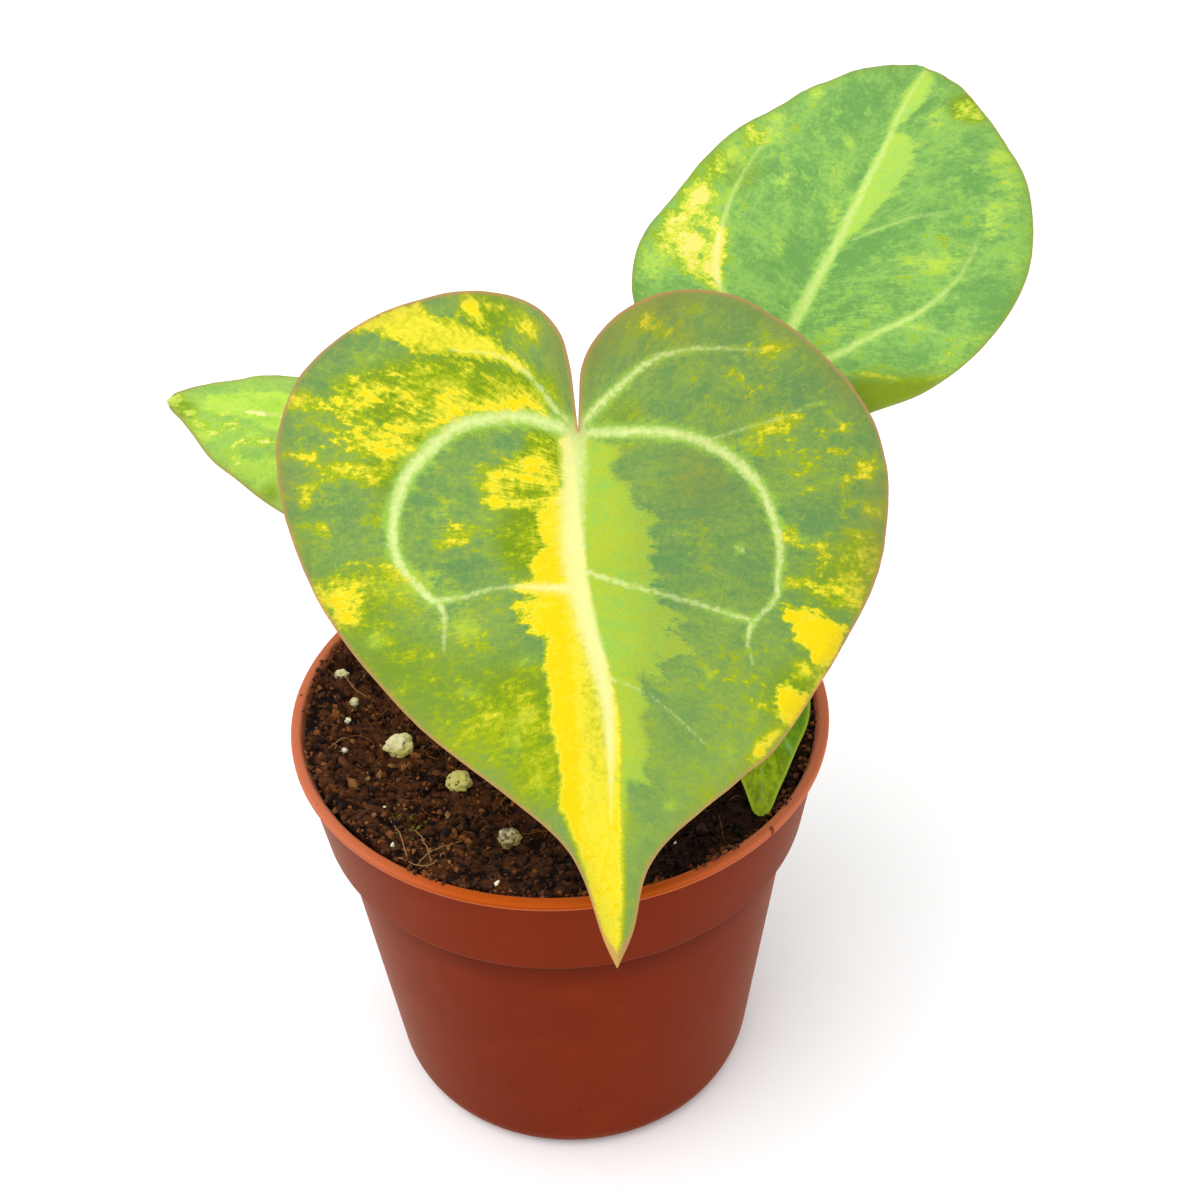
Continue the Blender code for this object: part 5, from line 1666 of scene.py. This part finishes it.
def make_rim_crumbs(skin):
    """Crumbs on the pot's lip where the photograph shows them, and against its wall."""
    draw = np.random.default_rng(RIM_CRUMB_DRAW)
    on_lip = np.radians(np.concatenate([draw.normal(*heap) for heap in LIP_HEAPS]))
    angle = np.append(on_lip, draw.uniform(0, math.tau, WALL_CRUMBS))
    lies_on_lip = np.arange(len(angle)) < len(on_lip)
    near, far = np.where(lies_on_lip[:, None], LIP_REACH, WALL_REACH).T
    flat = polar(draw.uniform(near, far) * MM, angle)
    sizes = draw.uniform(0.25, 0.85, len(angle)) * MM
    points, faces = crumb_shapes(draw, flat, sizes, 0)
    level = SOIL_LEVEL + soil_lift(flat)
    rise = np.where(lies_on_lip, POT_HEIGHT - level + 0.25 * sizes, 0.25 * MM)
    points[:, 2] += np.repeat(rise, len(points) // len(rise))
    tints = draw.uniform(0.1, 0.6, len(angle))
    add_loose("rim_crumbs", points, faces, tints, skin, sharp=30)


def crumb_finish(settings):
    """Crumb colours by their tint, from near black through rust and tan to perlite grey."""
    nodes = Finish("Substrate crumbs", 0.85, {"Specular IOR Level": 0.2})
    mottle = nodes.noise(nodes.object_place(), 1500, 3)
    tint = nodes.mark("crumb_tint") + (mottle - 0.5) * 0.3
    colour = nodes.layers(
        tint, settings.dark, (0.08, 0.3, settings.brown), (0.34, 0.56, settings.rust),
        (0.62, 0.78, settings.tan), (0.84, 0.9, settings.perlite),
    )
    moss = 1 - nodes.step(tint, -0.6, -0.4)
    nodes.bump(mottle, 0.12 * MM)
    return nodes.coloured(nodes.mix(moss, colour, settings.moss))


def make_fibres(settings, skin):
    """Coir fibres and a few pale rootlets, as thin tubes that dip into the substrate.

    The fibres follow gentle random arcs, and the rootlets smooth curves through places.
    """
    draw = np.random.default_rng(FIBRE_DRAW)
    flat = clear_places(draw, settings.fibres, STEM_RADIUS + 2 * MM, SOIL_RADIUS - 2.5 * MM)
    count = len(flat)
    common, least, most = FIBRE_LENGTHS
    lengths = draw.lognormal(math.log(common), 0.5, count).clip(least, most) * MM
    heading = draw.uniform(0, math.tau, count)
    bend = draw.normal(0, 0.55, count)
    s = np.linspace(-0.5, 0.5, FIBRE_STEPS)
    arc = 1 - (2 * s) ** 2
    turn = heading[:, None] + bend[:, None] * s * 2
    fibres = np.cumsum(polar(1, turn), axis=1) / FIBRE_STEPS * lengths[:, None, None]
    fibres += (flat - fibres.mean(axis=1))[:, None]
    farthest = np.linalg.norm(fibres, axis=2).max(axis=1)
    fibres *= np.minimum(1, (SOIL_RADIUS - 0.4 * MM) / farthest)[:, None, None]
    hump = draw.uniform(0.1, 0.9, count)[:, None] * arc * MM
    radii = draw.uniform(0.02, 0.06, count)[:, None] * MM * (1.15 - np.abs(s))
    tints = draw.uniform(0.15, 0.6, count)
    paths = raised(fibres, SOIL_LEVEL + soil_lift(fibres) * 0.5 + hump + 0.05 * MM)
    rootlets = np.stack([smooth_curve(line, FIBRE_STEPS) for line in ROOTLETS]) * MM
    rise = SOIL_LEVEL + soil_lift(rootlets) + 0.5 * MM * arc
    paths = np.concatenate([paths, raised(rootlets, rise)])
    radii = np.concatenate([radii, np.full(rise.shape, ROOTLET_RADIUS)])
    tints = np.append(tints, np.full(len(rootlets), ROOTLET_TINT))
    points, faces = tubes(paths, radii, FIBRE_SIDES, (0.1, 0.2, 0.97))
    add_loose("coir_fibres", points, faces, tints, skin, sharp=80)


def make_perlite(settings):
    """Each grain: a ball in its packed box, lumpy by broad noise and pitted by fine noise.

    The marks say how far up a place lies and how hollow it is, both less the grain's tones.
    """
    skin = perlite_finish(settings)
    tilts = np.linspace(math.pi - 0.05, 0.05, GRAIN_RINGS)
    round_grain = ball(tilts, GRAIN_SIDES)
    for index, (middle, half) in enumerate(zip(*grain_places()), 1):
        lumps = lattice_noise(round_grain * 1.6 + index * 7.1, GRAIN_LUMP_NOISE + index)
        knobs = layered_noise(round_grain * 3.0 + index * 3.3, GRAIN_KNOB_NOISE + index)
        pits = layered_noise(round_grain * 4.5 + index, GRAIN_PIT_NOISE + index, 2)
        pits = np.minimum(0, pits + 0.3)
        radius = 1 + 0.2 * lumps + 0.13 * knobs + 0.36 * pits
        shape = round_grain * (radius / radius.max())[..., None] * half + middle
        points, faces = closed_rings(shape[None])
        green, dirty = GRAIN_TONES.get(index, (0.3, 0))
        up = round_grain[..., 2] - 0.35 * round_grain[..., 0] + 0.3 * knobs
        marks = {
            "grain_up": np.append(up, (-1, 1)) - 1.2 * green,
            "grain_pit": np.append(-pits, (0, 0)) + 0.2 * dirty,
        }
        name = f"perlite_grain_{index:02d}"
        node = f"perlite_{index:02d}"
        add_piece(name, points, faces, skin, [node], sharp=80, marks=marks)


def perlite_finish(settings):
    """Chalky white grain, greened by algae low down and dirtied by peat in its pits."""
    nodes = Finish("Perlite", 0.9)
    place = nodes.object_place()
    patches = nodes.noise(place, 700, 3)
    pits = nodes.noise(place, 1700, 3)
    colour = nodes.layers(patches, settings.perlite_shade, (0.3, 0.7, settings.perlite))
    algae = 1 - nodes.step(nodes.mark("grain_up") - patches * 1.4, -0.9, 0.2)
    colour = nodes.mix(algae * 0.75, colour, settings.algae)
    dirt = nodes.step(nodes.mark("grain_pit") + pits * 0.5, 0.42, 0.72) * 0.85
    nodes.bump(pits * -1, 0.15 * MM)
    return nodes.coloured(nodes.mix(dirt, colour, settings.brown))


# Studio


def make_floor(settings):
    """A round pale floor, flat at height 0."""
    rim = raised(polar(FLOOR_RADIUS, full_turn(FLOOR_SIDES)), 0)
    mesh = new_mesh("studio_floor", rim, [list(range(FLOOR_SIDES))])
    nodes = Finish("Pale floor", 0.9)
    edge = tuple(0.98 * value for value in settings.floor)
    tone = nodes.noise(nodes.object_place(), 3, 2)
    mesh.materials.append(nodes.coloured(nodes.mix(tone, edge, settings.floor)))
    floor = new_object("studio_floor", mesh)


def make_light(scene, settings):
    """White surroundings and one large soft lamp, high on the left and in front."""
    scene.view_settings.view_transform = "Standard"
    world = bpy.data.worlds.new("studio_surroundings")
    world.use_nodes = True
    background = world.node_tree.nodes["Background"]
    background.inputs["Color"].default_value = (1, 1, 1, 1)
    background.inputs["Strength"].default_value = settings.sky_strength
    scene.world = world
    lamp = bpy.data.lights.new("soft_lamp", "AREA")
    lamp.shape = "DISK"
    lamp.size = LAMP_SIZE
    lamp.energy = settings.lamp_power
    turn = Matrix.Rotation(LAMP_TURN, 4, "Z") @ Matrix.Rotation(LAMP_TILT, 4, "X")
    new_object("soft_lamp", lamp).matrix_world = Matrix.Translation(LAMP_PLACE) @ turn


def make_camera(scene):
    """The camera that took the photograph, pitched down and rolled a little."""
    lens = bpy.data.cameras.new("photo_camera")
    lens.lens = CAMERA_LENS
    lens.sensor_width = CAMERA_SENSOR
    lens.clip_start = 0.01
    camera = new_object("photo_camera", lens)
    pitch = Matrix.Rotation(math.pi / 2 - CAMERA_PITCH, 4, "X")
    roll = Matrix.Rotation(-CAMERA_ROLL, 4, "Z")
    camera.matrix_world = Matrix.Translation(CAMERA_PLACE) @ pitch @ roll
    scene.camera = camera


# What a user can change


def colour_setting(name, description, shade, light=STUDIO_LIGHT):
    return FloatVectorProperty(
        name=name, description=description, default=display(*shade, light), size=3, min=0,
        max=1, subtype="COLOR",
    )


def length_setting(name, description, default):
    return FloatProperty(
        name=name, description=description, default=default, min=0, unit="LENGTH", precision=5
    )


class LeafSettings(bpy.types.PropertyGroup):
    thickness: length_setting("Thickness", "Thickness of a blade away from its edge", 0.45 * MM)
    quilting: length_setting("Quilting", "How far the blade swells between its veins", 0.5 * MM)
    vein_depth: length_setting("Vein depth", "How far a vein of unit width sinks", 0.45 * MM)
    rib_height: length_setting("Rib height", "How far a vein stands out underneath", 0.6 * MM)
    deep: colour_setting("Deep green", "Darker bluish green of the blade", (108, 152, 86))
    mid: colour_setting("Mid green", "Lighter yellowish green of the blade", (148, 177, 74))
    moss: colour_setting("Moss", "Yellowish green of the speckled lobes", (126, 156, 10))
    olive: colour_setting("Olive", "Green that borders the yellow", (160, 182, 8))
    fleck: colour_setting("Fleck", "Small flecks and streaks", (202, 206, 40))
    halo: colour_setting("Halo", "Bright green beside the veins", (162, 208, 80))
    lime: colour_setting("Lime", "Half-coloured areas", (188, 208, 56))
    yellow: colour_setting("Yellow", "Yellow areas", (250, 236, 56))
    amber: colour_setting("Amber", "Deeper yellow", (252, 224, 8))
    cream: colour_setting("Cream", "Veins and pale streaks in the yellow", (251, 250, 166))
    vein: colour_setting("Vein", "Main veins in the green", (236, 247, 162))
    tan: colour_setting("Tan", "Brownish green near the margin", (142, 140, 68))
    margin: colour_setting("Margin", "Thin coloured edge", (200, 140, 98))
    underside: colour_setting("Underside", "Paler green of the underside", (164, 190, 112))


class PotSettings(bpy.types.PropertyGroup):
    plastic: colour_setting("Plastic", "Terracotta plastic", (125, 38, 8))
    plastic_warm: colour_setting("Warm plastic", "Slightly warmer clouds in it", (131, 42, 6))
    # Plastic dark is the dirt of the specks, and also the painted shade under the collar's step
    # and in the lines round the lip's foot.
    plastic_dark: colour_setting("Dark plastic", "Painted shade under the step and lip, and dirt specks", (70, 20, 8))
    # Painted light: the lip band is painted brighter than the plastic below; the same colour also
    # tints the light dust.
    lip: colour_setting("Lip", "Brighter lip", (196, 86, 20))
    # Painted sheen on the lip's sides, and the painted highlight line round the lip's foot.
    lip_sheen: colour_setting("Lip sheen", "Pale sides of the lip", (218, 122, 86))
    roughness: FloatProperty(
        name="Roughness", description="How dull the plastic is", default=0.55, min=0, max=1,
        subtype="FACTOR",
    )
    round_steps: IntProperty(
        name="Round steps", description="Sides of the turned pot", default=224, min=32, max=512
    )


class SubstrateSettings(bpy.types.PropertyGroup):
    # Also painted as the leaves' shadow toward the right of the substrate and its crumbs.
    dark: colour_setting("Dark", "Moist peat in the hollows", (28, 12, 8))
    brown: colour_setting("Brown", "Brown clods", (90, 50, 25))
    rust: colour_setting("Rust", "Rusty coir", (144, 84, 38))
    tan: colour_setting("Tan", "Pale coir fibres", (176, 132, 80))
    perlite: colour_setting("Perlite", "Chalky white of the grains", (248, 240, 208), 1.05)
    perlite_shade: colour_setting("Perlite shade", "Yellowish patches", (228, 216, 158), 1.05)
    algae: colour_setting("Algae", "Yellow-green film low on the grains", (204, 192, 60), 1.1)
    moss: colour_setting("Moss", "Specks of moss on the substrate", (106, 106, 26))
    crumbs: IntProperty(
        name="Crumbs", description="Loose crumbs on the substrate", default=5200, min=0
    )
    fibres: IntProperty(
        name="Fibres", description="Coir fibres on the substrate", default=700, min=0
    )


class StalkSettings(bpy.types.PropertyGroup):
    stalk_green: colour_setting("Stalk green", "Leaf stalks", (138, 164, 72))
    stalk_pale: colour_setting("Stalk pale", "Fine lines along the stalks", (196, 208, 122))
    blush: colour_setting("Blush", "Reddish knee and foot of a stalk", (150, 92, 62))
    bark: colour_setting("Bark", "Stem and roots", (172, 146, 98))
    bark_dark: colour_setting("Dark bark", "Grooves of the stem", (98, 72, 44))
    sheath_pale: colour_setting("Pale sheath", "Dry papery sheath", (188, 150, 100))
    sheath_dark: colour_setting("Dark sheath", "Its fibres and tip", (112, 74, 42))


class StudioSettings(bpy.types.PropertyGroup):
    floor: colour_setting("Floor", "Plain pale floor", (253, 253, 253), 1)
    sky_strength: FloatProperty(
        name="Sky", description="Strength of the white surroundings", default=1.05, min=0
    )
    lamp_power: FloatProperty(
        name="Lamp", description="Power of the large soft lamp", default=5.4, min=0, unit="POWER"
    )


# One operator for each piece or group of like pieces


class ANTHURIUM_OT_pot(bpy.types.Operator):
    """Turn the nursery pot and cut its drains"""

    bl_idname = "anthurium.pot"
    bl_label = "Nursery Pot"

    def execute(self, context):
        make_pot(context.scene.anthurium_pot)
        return {"FINISHED"}


class ANTHURIUM_OT_substrate(bpy.types.Operator):
    """Fill the pot with substrate and strew crumbs, fibres and perlite on it"""

    bl_idname = "anthurium.substrate"
    bl_label = "Substrate"

    def execute(self, context):
        settings = context.scene.anthurium_substrate
        skin = crumb_finish(settings)
        make_soil(settings)
        make_crumbs(settings, skin)
        make_rim_crumbs(skin)
        make_fibres(settings, skin)
        make_perlite(settings)
        return {"FINISHED"}


class ANTHURIUM_OT_stem(bpy.types.Operator):
    """Grow the short stem with its roots and dry sheaths"""

    bl_idname = "anthurium.stem"
    bl_label = "Stem, Roots and Sheaths"

    def execute(self, context):
        settings = context.scene.anthurium_stalk
        skin = sheath_finish(settings)
        make_stem(settings)
        for sheath in SHEATHS:
            make_sheath(*sheath, skin)
        return {"FINISHED"}


class ANTHURIUM_OT_stalks(bpy.types.Operator):
    """Raise the four leaf stalks"""

    bl_idname = "anthurium.stalks"
    bl_label = "Leaf Stalks"

    def execute(self, context):
        for leaf in LEAVES:
            make_stalk(leaf, context.scene.anthurium_stalk)
        return {"FINISHED"}


class ANTHURIUM_OT_leaves(bpy.types.Operator):
    """Spread the four variegated leaf blades"""

    bl_idname = "anthurium.leaves"
    bl_label = "Leaf Blades"

    def execute(self, context):
        variegation = variegation_group()
        for leaf in LEAVES:
            make_blade(leaf, variegation, context.scene.anthurium_leaf)
        return {"FINISHED"}


class ANTHURIUM_OT_studio(bpy.types.Operator):
    """Lay the floor and set up the soft light and the photograph's camera"""

    bl_idname = "anthurium.studio"
    bl_label = "Studio"

    def execute(self, context):
        settings = context.scene.anthurium_studio
        make_floor(settings)
        make_light(context.scene, settings)
        make_camera(context.scene)
        return {"FINISHED"}


class ANTHURIUM_PT_panel(bpy.types.Panel):
    """Buttons for the plant's pieces"""

    bl_idname = "ANTHURIUM_PT_panel"
    bl_label = "Potted Anthurium"
    bl_space_type = "VIEW_3D"
    bl_region_type = "UI"
    bl_category = "Anthurium"

    def draw(self, context):
        for operator in OPERATORS:
            self.layout.operator(operator.bl_idname)


OPERATORS = (
    ANTHURIUM_OT_pot,
    ANTHURIUM_OT_substrate,
    ANTHURIUM_OT_stem,
    ANTHURIUM_OT_stalks,
    ANTHURIUM_OT_leaves,
    ANTHURIUM_OT_studio,
)
SETTINGS = {
    "anthurium_leaf": LeafSettings,
    "anthurium_pot": PotSettings,
    "anthurium_substrate": SubstrateSettings,
    "anthurium_stalk": StalkSettings,
    "anthurium_studio": StudioSettings,
}


def register():
    for group in (*SETTINGS.values(), *OPERATORS, ANTHURIUM_PT_panel):
        bpy.utils.register_class(group)
    for name, group in SETTINGS.items():
        setattr(bpy.types.Scene, name, PointerProperty(type=group))


def unregister():
    for name in SETTINGS:
        delattr(bpy.types.Scene, name)
    for group in (ANTHURIUM_PT_panel, *reversed(OPERATORS), *SETTINGS.values()):
        bpy.utils.unregister_class(group)


def main():
    register()
    bpy.ops.anthurium.pot()
    bpy.ops.anthurium.substrate()
    bpy.ops.anthurium.stem()
    bpy.ops.anthurium.stalks()
    bpy.ops.anthurium.leaves()
    bpy.ops.anthurium.studio()


if __name__ == "__main__":
    main()
